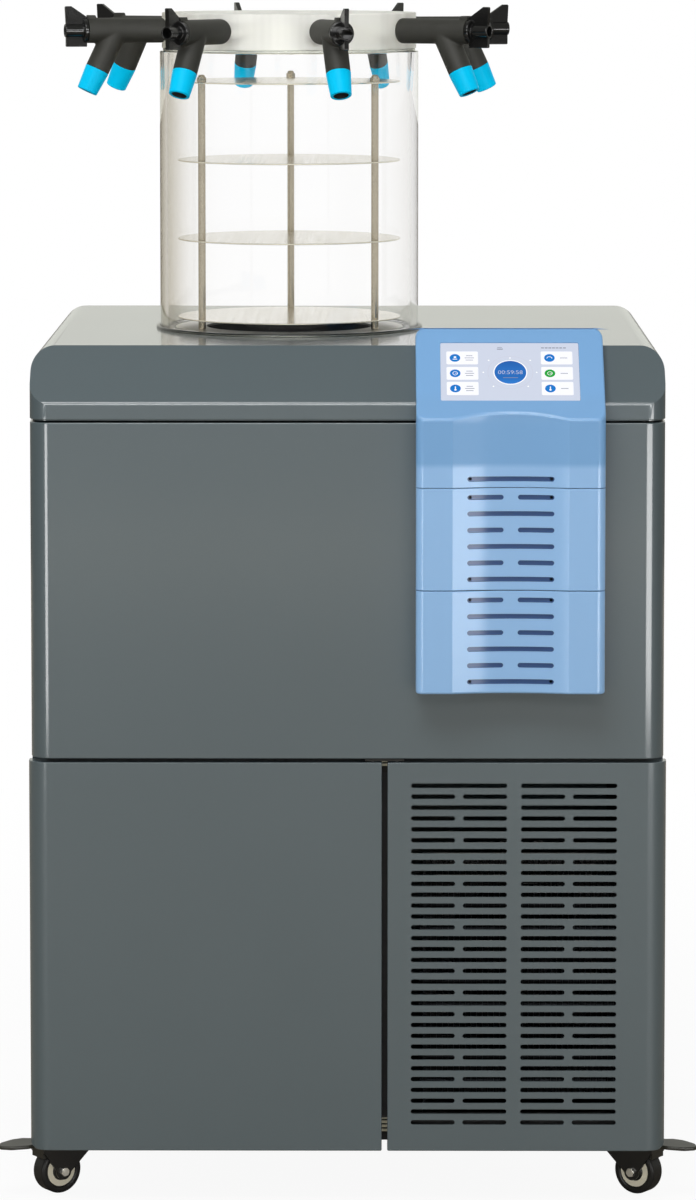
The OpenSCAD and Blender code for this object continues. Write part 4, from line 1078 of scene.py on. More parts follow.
# Gap between neighbouring covers, and between the screen and its window
SEAM = 0.3 * MM
# Depth of the shell's upper edge, square to the screen face
BACK_EDGE = 14 * MM
# Radii of the screen face's rim, of a cover's edges and of the lowest cover's foot
FACE_RIM, COVER_EDGE, COVER_FOOT = 2.6 * MM, 0.7 * MM, 2.2 * MM


class DRYER_OT_console(bpy.types.Operator):
    """Make the console's shell and its two grooved covers"""

    bl_idname = "dryer.console"
    bl_label = "Console"
    bl_options = {"REGISTER", "UNDO"}

    def shell_form(self, inset):
        s = sizes().console
        low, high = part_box("console_shell")
        lid_low, lid_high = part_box("top_cover")
        cabinet = sizes().cabinet
        gap = SEAM
        crease_z = high.z - s.face * math.sin(s.slope)
        cos, sin = math.cos(s.slope), math.sin(s.slope)

        def up(along, down):
            return (low.y + along * cos + down * sin, crease_z + along * sin - down * cos)

        bottom = low.z - (MM if inset else 0)
        if inset:
            side = [
                (low.y + inset, bottom, 0),
                (low.y + inset, crease_z - inset * (1 - sin) / cos, 0),
                (*up(s.face - inset, inset), 0), (*up(s.face - inset, 0.06), 0),
                (lid_low.y + 0.04, bottom, 0),
            ]
        else:
            edge_y = up(s.face, BACK_EDGE)[0]
            side = [
                (lid_low.y - gap, bottom, 0), (low.y, bottom, 0), (low.y, crease_z, 0),
                (*up(s.face, 0), 0), (*up(s.face, BACK_EDGE), 0), (edge_y, lid_high.z + gap, 0),
                (lid_low.y + cabinet.slant - gap * 0.4, lid_high.z + gap, 0),
                (lid_low.y - gap, lid_low.z + cabinet.skirt + gap * 0.4, 0),
            ]
        left, right = low.x + inset, high.x - inset
        top_corner = s.top_corner - inset
        body = console_plan("console_shell", inset, bottom, high.z + MM, lid_low.y + 0.12)
        section = rectangle(
            left, bottom, right, high.z - inset, (0, 0, top_corner, top_corner),
        )
        return carve(
            body, "INTERSECT", prism("side_form", side, "X", left, right),
            prism("front_form", section, "Y", low.y - MM, lid_low.y + 0.2),
        )

    def execute(self, context):
        s = sizes().console
        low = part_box("console_shell")[0]
        face_z = math.cos(s.slope)

        def rims_face(edge):
            return sharp(edge, 8) and any(
                abs(face.normal.z - face_z) < 0.02 and face.calc_area() > 1e-4
                for face in edge.link_faces
            )

        shell = self.shell_form(0)
        round_edges(shell, rims_face, FACE_RIM, 5)
        place = screen_place()
        half, gap = s.screen_width / 2, SEAM
        window = moved(
            prism(
                "window",
                rectangle(
                    -half - gap, s.screen_start - gap, half + gap,
                    s.screen_start + s.screen_height + gap, (s.screen_corner + gap,) * 4,
                ),
                "Z", -0.03, 0.03,
            ),
            place,
        )
        row = low.z + s.groove_margin - MM
        carve(
            shell, "DIFFERENCE", self.shell_form(s.wall), window,
            *console_grooves([(row, False, True)], low.z - MM, row + 0.02),
        )
        shade(shell, 11)
        piece(shell, CABINET, "console_plastic", console_plastic(), stands_for=["console_shell"])
        for node in ("console_middle_cover", "console_lower_cover"):
            self.cover(node)
        return {"FINISHED"}

    def cover(self, node):
        s = sizes().console
        low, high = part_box(node)
        floored = node == "console_lower_cover"
        body = console_plan(node, 0, low.z, high.z, high.y)
        for level, radius, segments in (
            (high.z, COVER_EDGE, 2), (low.z, COVER_FOOT if floored else COVER_EDGE, 3),
        ):
            round_edges(
                body, lambda edge: on(edge, z=level) and not on(edge, y=high.y), radius, segments,
            )
        room = console_plan(
            "room", s.wall, low.z + (s.wall if floored else -MM), high.z + MM, high.y + MM,
        )
        first = high.z - s.groove_margin
        last = s.groove_rows - 1
        rows = [
            (first - row * s.groove_pitch, row % 2 == 0, row in (0, last))
            for row in range(s.groove_rows)
        ]
        carve(body, "DIFFERENCE", room, *console_grooves(rows, low.z - MM, high.z + MM))
        shade(body, 11)
        piece(body, CABINET, "console_plastic", console_plastic(), stands_for=[node])


def screen_place():
    """The frame of the screen face: X across, Y up the slope, Z out of the face."""
    s = sizes().console
    low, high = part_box("console_shell")
    crease_z = high.z - s.face * math.sin(s.slope)
    corner = Vector(((low.x + high.x) / 2, low.y, crease_z))
    return Matrix.Translation(corner) @ Matrix.Rotation(s.slope, 4, "X")


def groove_shade_share(finish):
    """1 on the grooves' floors, which lie deeper than the hollow's surface and carry painted
    shade, else 0.
    """
    s = sizes().console
    low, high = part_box("console_shell")
    across, along, height = finish.axes()
    bend = hollow_radius()
    crease_z = high.z - s.face * math.sin(s.slope)
    across = across - (low.x + high.x) / 2
    along = along - (low.y + s.scoop_depth - bend)
    below = (across * across + along * along).root() - bend
    deep = ((below - 0.5 * s.groove_depth) / MM).clamped()
    return deep * (across.size() < s.groove_length / 2 + MM) * (height < crease_z - 30 * MM)


def hollow_radius():
    """Radius of the hollow down the console's front."""
    s = sizes().console
    return ((s.scoop_width / 2) ** 2 + s.scoop_depth ** 2) / (2 * s.scoop_depth)


# Height above the shell's foot of the band where the bend below the screen shines
SHEEN_RISE = 84 * MM


@cached
def console_plastic():
    """Light blue moulding, paler below the shell's grooved band and shiny at its bend."""
    c = sizes().colours
    f = Finish("console_plastic")
    height = f.axes()[2]
    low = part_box("console_shell")[0]
    paler = ((low.z + 23 * MM - height) / (6 * MM) + 0.5).clamped()
    crease = low.z + SHEEN_RISE
    bend = (1.5 - (height - crease).size() / (11 * MM)).clamped()
    upper = f.varied(tuple(c.console_top), 0.02, 12)
    lower = f.varied(tuple(c.console_front), 0.02, 12)
    skin = f.blend(paler, upper, lower)
    return f.done(f.surface(
        # The grooves' floors take the groove colour as painted shade.
        Base_Color=f.blend(groove_shade_share(f), skin, tuple(c.groove)),
        Roughness=0.42 + f.noise(24, 3.0) * 0.08, Specular_IOR_Level=0.12,
        Normal=f.bump(f.noise(2600, 2.0, 0.6), 0.00002, 0.4),
        Coat_Weight=paler * 0.45 + bend * 0.8 + 0.05, Coat_Roughness=0.14,
    ))


# The screen's image, in millimetres on the screen face from the middle of the crease.
# Low and high edges of the cards' rows from the top, and the cards' left and right edges
CARD_ROWS = ((81.0, 100.3), (58.3, 77.3), (35.6, 55.2))
CARD_LEFT = (-67.7, -33.8)
CARD_RIGHT = (33.4, 67.2)
# From a card's left edge to its icon's middle and its lines' middle
ICON_INSET, LINE_INSET = 9.2, 24.5
ICON_RADIUS = 5.7
# The dial's middle, and its discs' radii from the halo inwards
DIAL = (0.4, 69.2)
DIAL_RINGS = (24.5, 23.7, 18.2, 17.0)
DIGITS_TALL = 7.8
# The dots round the dial
DOTS = (
    (-22.5, 87), (0.4, 90.5), (22, 87), (-28.5, 69.2), (28.5, 69.2), (-18, 48.5), (19, 48.5),
)


class DRYER_OT_screen(bpy.types.Operator):
    """Make the touch screen and the generic image it shows"""

    bl_idname = "dryer.screen"
    bl_label = "Touch screen"
    bl_options = {"REGISTER", "UNDO"}

    def plate(self, low_x, low_y, high_x, high_y, radius, layer, material):
        """One thin rounded patch of the image, in millimetres on the screen face."""
        level = (layer * 0.05 - 0.58) * MM
        outline = rectangle(
            low_x * MM, low_y * MM, high_x * MM, high_y * MM, (radius * 0.998 * MM,) * 4,
        )
        patch = prism("patch", outline, "Z", level - 0.06 * MM, level + 0.05 * MM)
        patch.data.materials.append(material)
        self.patches.append(patch)

    def disc(self, x, y, radius, layer, material):
        self.plate(x - radius, y - radius, x + radius, y + radius, radius, layer, material)

    def icon(self, row, right, middle, ground, ink):
        """A small plain mark on a round ground; each row has its own."""
        x, y = middle
        self.disc(x, y, ICON_RADIUS, 2, ground)
        if row == 0 and right:
            self.disc(x, y - 0.8, 3.0, 3, ink)
            self.disc(x, y - 0.8, 2.3, 4, ground)
            self.plate(x - 3.2, y - 4.2, x + 3.2, y - 0.8, 0.2, 5, ground)
        elif row == 0:
            self.disc(x, y + 1.0, 1.4, 3, ink)
            self.plate(x - 2.4, y - 2.4, x + 2.4, y - 1.4, 0.4, 3, ink)
        elif row == 1:
            self.disc(x, y, 2.8, 3, ink)
            self.disc(x, y, 2.2, 4, ground)
            self.plate(x - 0.3, y - 0.3, x + 1.9, y + 0.3, 0.2, 5, ink)
        else:
            self.plate(x - 0.55, y - 2.0, x + 0.55, y + 3.0, 0.5, 3, ink)
            self.disc(x, y - 2.0, 1.2, 3, ink)

    def digits(self, text, x, y, tall, material):
        """Plain figures on the dial."""
        settle()
        bpy.ops.object.text_add(location=(0, 0, 0))
        figures = bpy.context.object
        figures.data.body = text
        figures.data.size = tall * MM
        figures.data.align_x = "CENTER"
        figures.data.align_y = "CENTER"
        figures.data.extrude = 0.03 * MM
        figures.data.offset = -0.1 * MM
        figures.data.resolution_u = 4
        bpy.ops.object.convert(target="MESH")
        figures = moved(
            bpy.context.object, Matrix.Translation((x * MM, y * MM, -0.38 * MM)),
        )
        figures.data.materials.clear()
        figures.data.materials.append(material)
        self.patches.append(figures)

    def execute(self, context):
        s = sizes().console
        self.patches = []
        card = lit_image("screen_card", tone(246, 247, 253))
        blue = lit_image("screen_blue", tone(6, 116, 202))
        green = lit_image("screen_green", tone(18, 160, 52))
        white = lit_image("screen_white", tone(252, 253, 255))
        ground = lit_image("screen_ground", tuple(sizes().colours.screen))
        grey = lit_image("screen_grey", tone(132, 138, 158))
        mark = lit_image("screen_mark", tone(92, 98, 118))
        halo = lit_image("screen_halo", tone(202, 206, 222))
        for row, (low_y, high_y) in enumerate(CARD_ROWS):
            for low_x, high_x in (CARD_LEFT, CARD_RIGHT):
                self.plate(low_x, low_y - 0.7, high_x, high_y, 1.6, 0, halo)
                self.plate(low_x, low_y, high_x, high_y, 1.6, 1, card)
                icon_x, icon_y = low_x + ICON_INSET, (low_y + high_y) / 2
                middle_right = row == 1 and low_x > 0
                middle = Vector((icon_x, icon_y))
                self.icon(row, low_x > 0, middle, green if middle_right else blue, white)
                lines = ((3.2, 7), (0, 10), (-3.2, 8)) if low_x < 0 else ((0, 8),)
                for lift, reach in lines:
                    start = low_x + LINE_INSET - reach / 2
                    self.plate(
                        start, icon_y + lift - 0.4, start + reach, icon_y + lift + 0.4, 0.3, 2,
                        grey,
                    )
        for layer, material in enumerate((halo, ground, white, dial_image())):
            self.disc(*DIAL, DIAL_RINGS[layer], layer, material)
        for x, y in DOTS:
            self.disc(x, y, 0.9, 4, white)
        self.plate(DIAL[0] - 8, DIAL[1] - 8.3, DIAL[0] + 8, DIAL[1] - 7.5, 0.3, 4, grey)
        self.plate(-13.5, 103.4, -7, 104.4, 0.4, 0, mark)
        self.plate(-13.0, 106.0, -8, 106.7, 0.3, 0, grey)
        for number in range(7):
            start = 34 + number * 3.9
            self.plate(start, 105.2, start + 3.2, 106.2, 0.4, 0, mark)
        self.digits("00:59:58", DIAL[0], DIAL[1] - 0.2, DIGITS_TALL, halo)
        image = moved(joined("screen_image", self.patches), screen_place())
        only(image)
        bpy.ops.object.shade_flat()
        piece(image, CABINET, "screen_glass")

        half, top = s.screen_width / 2, s.screen_start + s.screen_height
        glass = prism(
            "touch_screen",
            rectangle(-half, s.screen_start, half, top, (s.screen_corner,) * 4), "Z",
            -s.screen_drop - 9.4 * MM, -s.screen_drop,
        )
        round_edges(glass, lambda edge: on(edge, z=-s.screen_drop), 0.4 * MM, 2)
        moved(glass, screen_place())
        shade(glass)
        piece(glass, CABINET, "screen_glass", ground, stands_for=["touch_screen"])
        return {"FINISHED"}


@cached
def dial_image():
    """The dial's blue, paler towards its foot."""
    f = Finish("screen_dial")
    height = f.axes()[2]
    place = screen_place() @ Vector((0, DIAL[1] * MM, 0))
    rise = ((height - place.z) / (26 * MM) + 0.5).clamped()
    band = (0.5 - (rise - 0.3).size() * 1.6).at_least(0.0)
    shown = f.blend(
        rise * 0.7 + band * 0.5, tone(40, 128, 214), tone(6, 58, 140),
    )
    return f.done(f.surface(
        Base_Color=f.blend(SCREEN_DARK, shown, (0, 0, 0)), Roughness=0.18 + f.noise(40) * 0.03,
        Emission_Color=shown, Emission_Strength=SCREEN_GLOW,
    ))


# ---- Chamber ----


def chamber_centre():
    """The chamber's axis on the floor."""
    low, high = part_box("chamber_cylinder")
    return Vector(((low.x + high.x) / 2, (low.y + high.y) / 2, 0))


def half_width(node):
    low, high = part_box(node)
    return (high.x - low.x) / 2


def at_rods():
    """The places of the tie rods' axes on the floor; the first rod is at the rear."""
    circle = sizes().chamber.rod_circle
    for number in range(RODS):
        angle = math.radians(90 + number * 360 / RODS)
        yield chamber_centre() + Vector((math.cos(angle), math.sin(angle), 0)) * circle


def at_chamber(name, corners, steps=192):
    return moved(lathe(name, corners, steps), Matrix.Translation(chamber_centre()))


class DRYER_OT_chamber(bpy.types.Operator):
    """Make the gasket, the acrylic cylinder, the seal and the manifold head"""

    bl_idname = "dryer.chamber"
    bl_label = "Drying chamber"
    bl_options = {"REGISTER", "UNDO"}

    def execute(self, context):
        s = sizes().chamber
        low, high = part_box("chamber_cylinder")
        outer = half_width("chamber_cylinder")
        gasket_low, gasket_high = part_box("deck_gasket")
        inner, gap = outer - s.gasket_foot, outer + s.gasket_gap
        gasket = at_chamber("gasket", [
            (inner, gasket_low.z, 0), (half_width("deck_gasket"), gasket_low.z, 0),
            (half_width("deck_gasket"), gasket_high.z, 1.8 * MM),
            (gap, gasket_high.z, 0.8 * MM), (gap, low.z, 0), (inner, low.z, 0),
        ])
        shade(gasket)
        soft = clear_acrylic("clear_seal", tone(236, 238, 232), 0.22)
        piece(gasket, CABINET, "clear_seal", soft, stands_for=["deck_gasket"])

        bore = outer - s.wall
        cylinder = at_chamber("cylinder", [
            (bore, low.z, s.edge), (outer, low.z, s.edge), (outer, high.z, s.edge),
            (bore, high.z, s.edge),
        ])
        shade(cylinder)
        acrylic = clear_acrylic("acrylic", (1.0, 1.0, 1.0), 0.0, 1.0, 0.03, 1.32)
        piece(cylinder, CABINET, "acrylic", acrylic, stands_for=["chamber_cylinder"])

        seal_low, seal_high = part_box("head_seal")
        rim = half_width("head_seal")
        seal = at_chamber("seal", [
            (rim - s.seal_wall + MM, seal_low.z, 0.5 * MM), (rim, seal_low.z, 1.2 * MM),
            (rim, seal_high.z, 1.2 * MM), (rim - s.seal_wall + MM, seal_high.z, 0.5 * MM),
        ])
        shade(seal)
        piece(seal, CABINET, "clear_seal", soft, stands_for=["head_seal"])

        head_low, head_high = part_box("manifold_head")
        rim = half_width("manifold_head")
        hollow = rim - s.head_wall
        under = head_high.z - s.head_top
        head = at_chamber("head", [
            (0, under, 0), (hollow, under, 2 * MM), (hollow, head_low.z, s.edge),
            (rim, head_low.z, s.edge), (rim, head_high.z, s.edge), (0, head_high.z, 0),
        ])
        bores = [
            rod("bore", moved_to(number, (-rim, 0, 0)), valve_axis(number), s.stem, rim + MM, 64)
            for number in range(1, VALVES + 1)
        ]
        carve(head, "DIFFERENCE", joined("bores", bores))
        shade(head)
        # The last argument sets the strength of the painted upright glints.
        milky = clear_acrylic(
            "milky_acrylic", tone(250, 250, 246), 0.3, 0.5, 0.5, 1.49, 0.24,
        )
        piece(head, CABINET, "acrylic", milky, stands_for=["manifold_head"])
        return {"FINISHED"}


class DRYER_OT_shelves(bpy.types.Operator):
    """Make the shelf plates, the rods and spacer tubes that carry them, and the cap nuts"""

    bl_idname = "dryer.shelves"
    bl_label = "Shelves"
    bl_options = {"REGISTER", "UNDO"}

    def cap_nut(self, low, high):
        """A hexagon nut with a domed cap, from low to high."""
        s = sizes().chamber
        flats = low + 5 * MM
        nut = prism("nut", hexagon(s.nut), "Z", low, flats)
        across = s.nut * math.cos(math.radians(30))
        chamfers = lathe("chamfers", [
            (0, low - MM, 0), (across + 0.3 * MM, low - MM, 0), (s.nut + 0.4 * MM, low + MM, 0),
            (s.nut + 0.4 * MM, flats - 0.7 * MM, 0), (across, flats, 0), (0, flats, 0),
        ], 48)
        dome = lathe("dome", [
            (0, flats - MM, 0), (across - 0.5 * MM, flats - MM, 0),
            (across - 0.5 * MM, high, 2.4 * MM), (0, high, 0),
        ], 48)
        carve(nut, "INTERSECT", chamfers)
        carve(nut, "UNION", dome)
        hole = rod("hole", (0, 0, low - MM), (0, 0, 1), s.rod, 5 * MM, 32)
        return carve(nut, "DIFFERENCE", hole)

    def posts(self, first, count):
        """The threaded rods and the spacer tubes on them, from the first shelf's level up."""
        s = sizes().chamber
        rod_low, rod_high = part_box("shelf_rods")
        spacer_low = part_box("shelf_spacers")[0].z
        bright = steel("rod_steel", tone(168, 160, 142), 0.16, (1, 1, 0.004), 500)
        stud = lathe("stud", [
            (0, rod_low.z, 0), (s.rod, rod_low.z, 0.4 * MM), (s.rod, rod_high.z, 0.4 * MM),
            (0, rod_high.z, 0),
        ], 48)
        tubes = []
        for number in range(count):
            shelf = first + number * s.shelf_pitch
            foot = shelf - s.shelf_pitch + s.shelf if number else spacer_low
            tubes.append(lathe("tube", [
                (s.rod + FIT, foot, 0), (s.spacer, foot, 0.3 * MM),
                (s.spacer, shelf, 0.3 * MM), (s.rod + FIT, shelf, 0),
            ], 48))
        tubes = joined("tubes", tubes)
        for name, node, part in (
            ("shelf_studs", "shelf_rods", stud), ("spacer_tubes", "shelf_spacers", tubes),
        ):
            copies = [copy_of(part, name, Matrix.Translation(place)) for place in at_rods()]
            discard(part)
            posts = joined(name, copies)
            shade(posts)
            piece(posts, CABINET, "bright_steel", bright, stands_for=[node])

    def execute(self, context):
        s = sizes().chamber
        low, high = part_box("shelf_plates")
        rim = half_width("shelf_plates")
        plate = at_chamber("plate", [
            (0, low.z, 0), (rim, low.z, 0.5 * MM), (rim, low.z + s.shelf, 0.5 * MM),
            (0, low.z + s.shelf, 0),
        ])
        holes = [
            rod("hole", place + Vector((0, 0, low.z - MM)), (0, 0, 1), s.rod + FIT,
                s.shelf + 2 * MM, 32)
            for place in at_rods()
        ]
        carve(plate, "DIFFERENCE", *holes)
        count = round((high.z - low.z - s.shelf) / s.shelf_pitch) + 1
        sheet = steel("shelf_steel", tuple(sizes().colours.stainless), 0.2, (1, 0.02, 1), 240)
        for number in range(count):
            level = Matrix.Translation((0, 0, number * s.shelf_pitch))
            node = None if number else "shelf_plates"
            placed(
                plate, f"shelf_{number + 1}", level, CABINET, "bright_steel", sheet, node=node,
            )
        discard(plate)

        self.posts(low.z, count)
        nut_low, nut_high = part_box("shelf_nuts")
        nut = self.cap_nut(nut_low.z, nut_high.z)
        nuts = [copy_of(nut, "nut", Matrix.Translation(place)) for place in at_rods()]
        discard(nut)
        nuts = joined("cap_nuts", nuts)
        shade(nuts, 25)
        polished = steel("nut_steel", tone(164, 154, 136), 0.28)
        piece(nuts, CABINET, "bright_steel", polished, stands_for=["shelf_nuts"])
        return {"FINISHED"}


# ---- Flask valves ----


def valve_place(number):
    """A valve's frame: X outwards along its axis from the head's rim."""
    s = sizes().valve
    centre = chamber_centre() + Vector((0, 0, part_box("manifold_head")[0].z + s.height))
    turned = Matrix.Rotation(s.first + math.radians(45 * (number - 1)), 4, "Z")
    rim = Matrix.Translation((half_width("manifold_head"), 0, 0))
    return Matrix.Translation(centre) @ turned @ rim


def valve_axis(number):
    return valve_place(number).to_3x3() @ Vector((1, 0, 0))


def moved_to(number, place):
    return valve_place(number) @ Vector(place)


def branch_place():
    """The branch's frame in its valve's: Z down the branch from the valve's axis."""
    s = sizes().valve
    return Matrix.Translation((s.branch_at, 0, 0)) @ Matrix.Rotation(math.pi - s.tilt, 4, "Y")


# Turns a part made along Z to lie along the valve
ALONG_VALVE = Matrix.Rotation(math.pi / 2, 4, "Y")
# The lug on the body's outer end: length, rise above the body and half its width
LUG_LENGTH, LUG_RISE, LUG_HALF = 10 * MM, 3 * MM, 5 * MM
# Radius of the branch's stub inside the sleeve
STUB = 10 * MM
# Gap between the body and the knob's flange, the flange's thickness, and the knob's hub and bore
KNOB_GAP, FLANGE = 0.3 * MM, 4.7 * MM
KNOB_HUB, KNOB_BORE = 7.5 * MM, 5.5 * MM


class DRYER_OT_valves(bpy.types.Operator):
    """Make the eight flask valves and their outlet sleeves"""

    bl_idname = "dryer.valves"
    bl_label = "Flask valves"
    bl_options = {"REGISTER", "UNDO"}

    def body(self):
        """Moulded body whose branch runs smoothly into it."""
        s = sizes().valve
        wall = sizes().chamber.head_wall
        shoulder = s.branch - s.sleeve - 0.3 * MM
        spare = 4 * MM
        body = moved(lathe("body", [
            (0, 0.5 * MM, 0), (s.radius, 0.5 * MM, 4 * MM), (s.radius, s.reach + spare, 0),
            (0, s.reach + spare, 0),
        ]), ALONG_VALVE)
        branch = moved(lathe("branch", [
            (0, 0, 0), (s.radius - 0.3 * MM, 0, 0), (s.radius - 0.6 * MM, shoulder + spare, 0),
            (0, shoulder + spare, 0),
        ]), branch_place())
        carve(body, "UNION", branch)
        modify(body, "REMESH", mode="VOXEL", voxel_size=0.9 * MM, adaptivity=0.0)
        modify(body, "SMOOTH", factor=0.5, iterations=14)
        ends = [
            rod("end", (s.reach, 0, 0), (1, 0, 0), 2 * s.radius, 20 * MM, 64),
            moved(
                rod("end", (0, 0, shoulder), (0, 0, 1), 1.4 * s.radius, 20 * MM, 64),
                branch_place(),
            ),
        ]
        carve(body, "DIFFERENCE", *ends)
        foot, top = s.radius - LUG_RISE, s.radius + LUG_RISE
        lug = prism("lug", [
            (s.reach - LUG_LENGTH, foot, 0), (s.reach - LUG_LENGTH, s.radius - MM, 0),
            (s.reach - LUG_LENGTH + 2 * MM, top, 1.2 * MM), (s.reach, top, 0),
            (s.reach, foot, 0),
        ], "Y", -LUG_HALF, LUG_HALF)
        stem = rod("stem", (-wall, 0, 0), (1, 0, 0), s.stem, wall + 6 * MM, 64)
        stub = moved(
            rod("stub", (0, 0, shoulder - spare), (0, 0, 1), STUB, 19 * MM, 64),
            branch_place(),
        )
        carve(body, "UNION", lug, stem, stub)
        inner = s.plug - 2 * MM
        passages = [
            rod("passage", (-wall - MM, 0, 0), (1, 0, 0), inner, wall + s.reach, 48),
            rod(
                "seat", (s.reach - s.plug_length - 0.1 * MM, 0, 0), (1, 0, 0),
                s.plug + FIT, s.plug_length + spare, 96,
            ),
            moved(rod("passage", (0, 0, 0), (0, 0, 1), inner, s.branch, 48), branch_place()),
        ]
        return carve(body, "DIFFERENCE", *passages)

    def sleeve(self):
        s = sizes().valve
        low, high = s.branch - s.sleeve, s.branch
        seat = low + s.sleeve - 11 * MM
        outline = [
            (STUB + FIT, low, 0), (s.radius - 0.4 * MM, low, 0.5 * MM),
            (s.radius - 2.5 * MM, high, 1.2 * MM),
            (s.mouth, high, 0.8 * MM), (s.mouth, seat, 0), (STUB + FIT, seat, 0),
        ]
        sleeve = lathe("sleeve", outline)
        skin = silicone_painted_glow(tuple(sizes().colours.sleeve))
        # The mouth's inner faces get a near-black finish: painted shade inside the bore.
        for material in (skin, rubber("bore_rubber", tone(20, 22, 22), 0.6)):
            sleeve.data.materials.append(material)
        for face in sleeve.data.polygons:
            across = math.hypot(face.center.x, face.center.y)
            face.material_index = int(across < s.mouth + 0.1 * MM)
        return moved(sleeve, branch_place())

    def execute(self, context):
        body = self.body()
        moulded = rubber("valve_rubber", tuple(sizes().colours.valve), 0.5)
        for number in range(1, VALVES + 1):
            placed(
                body, f"flask_valve_{number}", valve_place(number), CABINET, "valve_rubber",
                moulded, 35, f"valve_body_{number}",
            )
        sleeve = self.sleeve()
        sleeves = [
            copy_of(sleeve, "sleeve", valve_place(number)) for number in range(1, VALVES + 1)
        ]
        discard(body, sleeve)
        sleeves = joined("valve_sleeves", sleeves)
        shade(sleeves)
        piece(sleeves, CABINET, "sleeve_rubber", stands_for=["outlet_sleeves"])
        return {"FINISHED"}


class DRYER_OT_knobs(bpy.types.Operator):
    """Make the valve knobs"""

    bl_idname = "dryer.knobs"
    bl_label = "Valve knobs"
    bl_options = {"REGISTER", "UNDO"}

    def knob(self):
        """A knob with its plug, and a vane that is longer on one side of the axis."""
        s = sizes().valve
        start = s.reach + KNOB_GAP
        front = start + FLANGE
        tip = front + s.knob
        hub, bore = KNOB_HUB, KNOB_BORE
        base = moved(lathe("knob", [
            (0, s.reach - s.plug_length, 0), (s.plug, s.reach - s.plug_length, 0.5 * MM),
            (s.plug, start, 0), (s.flange, start, 0.8 * MM), (s.flange, front, 1.4 * MM),
            (hub, front, 0.8 * MM), (hub, tip, 0.9 * MM), (bore, tip, 0.6 * MM),
            (bore, front + 4 * MM, 0), (0, front + 4 * MM, 0),
        ]), ALONG_VALVE)
        foot = start + 0.5 * MM
        vane = prism("vane", [
            (foot, -s.wing_down, MM), (tip - MM, -s.wing_down, 1.5 * MM),
            (tip - MM, -hub, 0), (tip - MM, hub, 0), (tip, s.wing_up, 1.5 * MM),
            (tip - 7 * MM, s.wing_up, MM), (foot, s.radius + MM, MM),
        ], "Y", -s.vane / 2, s.vane / 2)
        round_edges(vane, lambda edge: sharp(edge, 40), 0.6 * MM, 3)
        carve(base, "UNION", vane)
        hole = rod("hole", (front + 4 * MM, 0, 0), (1, 0, 0), bore, s.knob, 64)
        return carve(base, "DIFFERENCE", hole)

    def execute(self, context):
        knob = self.knob()
        gloss = moulded_plastic("knob_plastic", tone(20, 20, 20), 0.16, 0.000004)
        for number in range(1, VALVES + 1):
            placed(
                knob, f"turn_knob_{number}", valve_place(number), f"knob_{number}",
                "knob_plastic", gloss, 28, f"valve_knob_{number}",
            )
        discard(knob)
        return {"FINISHED"}


# ---- Casters ----


# Casters: the fork's crown plate, its round plate and the bore for the swivel pin
CROWN_PLATE = 4 * MM
SWIVEL_DISC, SWIVEL_BORE = 22 * MM, 6 * MM + FIT
# Front and rear edges of the crown plate, from the swivel axis
CROWN_FRONT, CROWN_REAR = 18 * MM, -14 * MM
# Radii of a leg's end round the axle, of the axle and of the wheel's bore
LEG_END, AXLE, WHEEL_BORE = 9 * MM, 4 * MM, 4 * MM + FIT
NUT_HEIGHT = 3.3 * MM
# Radii of the wheel's hub, of its cream ring and of the tread's inner edge
HUB, RING_INNER, RING_OUTER, TREAD_INNER = 9 * MM, 10.6 * MM, 17 * MM, 19 * MM
# How far the wheel's faces lie inside its width
FACE_DROP = 2 * MM


def pivot():
    """The pedal's pivot in its caster's frame, in X and Z."""
    s = sizes().caster
    return s.trail + 20 * MM, s.crown - 4 * MM


def caster_place(number):
    """A caster's frame on the floor: X from its swivel axis through its wheel."""
    s = sizes().caster
    swivel = next(
        joint["pos_m"] for joint in frame["joints"] if joint["name"] == f"caster_{number}_swivel"
    )
    angles = (math.pi + s.front_turn, -s.front_turn, math.radians(110), math.radians(70))
    place = Matrix.Translation((swivel[0], swivel[1], 0))
    return place @ Matrix.Rotation(angles[number - 1], 4, "Z")


def wheel_place():
    s = sizes().caster
    centre = Matrix.Translation((s.trail, 0, s.wheel))
    return centre @ Matrix.Rotation(math.pi / 2, 4, "X")


class DRYER_OT_wheels(bpy.types.Operator):
    """Make the caster wheels: a tyre with a cream core on both sides"""

    bl_idname = "dryer.wheels"
    bl_label = "Caster wheels"
    bl_options = {"REGISTER", "UNDO"}

    def execute(self, context):
        s = sizes().caster
        half = s.tread / 2
        face = half - FACE_DROP
        profile = [
            (WHEEL_BORE, -half, 0), (HUB, -half, 1.5 * MM), (RING_INNER, -face, MM),
            (RING_OUTER, -face, MM), (TREAD_INNER, -half, 1.4 * MM),
            (s.wheel, -half, 3.4 * MM),
        ]
        profile += [(radius, -height, fillet) for radius, height, fillet in reversed(profile)]
        tyre = moved(lathe("tyre", profile), wheel_place())
        outer = RING_OUTER + 0.2 * MM
        rings = [
            lathe("ring", [
                (RING_INNER, side * face - 0.5 * MM, 0.3 * MM),
                (outer, side * face - 0.5 * MM, 0.3 * MM),
                (outer, side * face + 0.6 * MM, 0.4 * MM),
                (RING_INNER, side * face + 0.6 * MM, 0.4 * MM),
            ])
            for side in (-1, 1)
        ]
        ring = moved(joined("ring", rings), wheel_place())
        black = rubber("wheel_rubber", tone(22, 21, 20), 0.34)
        cream = moulded_plastic("wheel_core", tuple(sizes().colours.hub), 0.36, 0.00002)
        for number in range(1, CASTERS + 1):
            for part, name, material, node in (
                (tyre, "tyre", black, f"caster_wheel_{number}"),
                (ring, "wheel_core", cream, None),
            ):
                placed(
                    part, f"{name}_{number}", caster_place(number), f"wheel_{number}",
                    "wheel_rubber", material, node=node,
                )
        discard(tyre, ring)
        return {"FINISHED"}


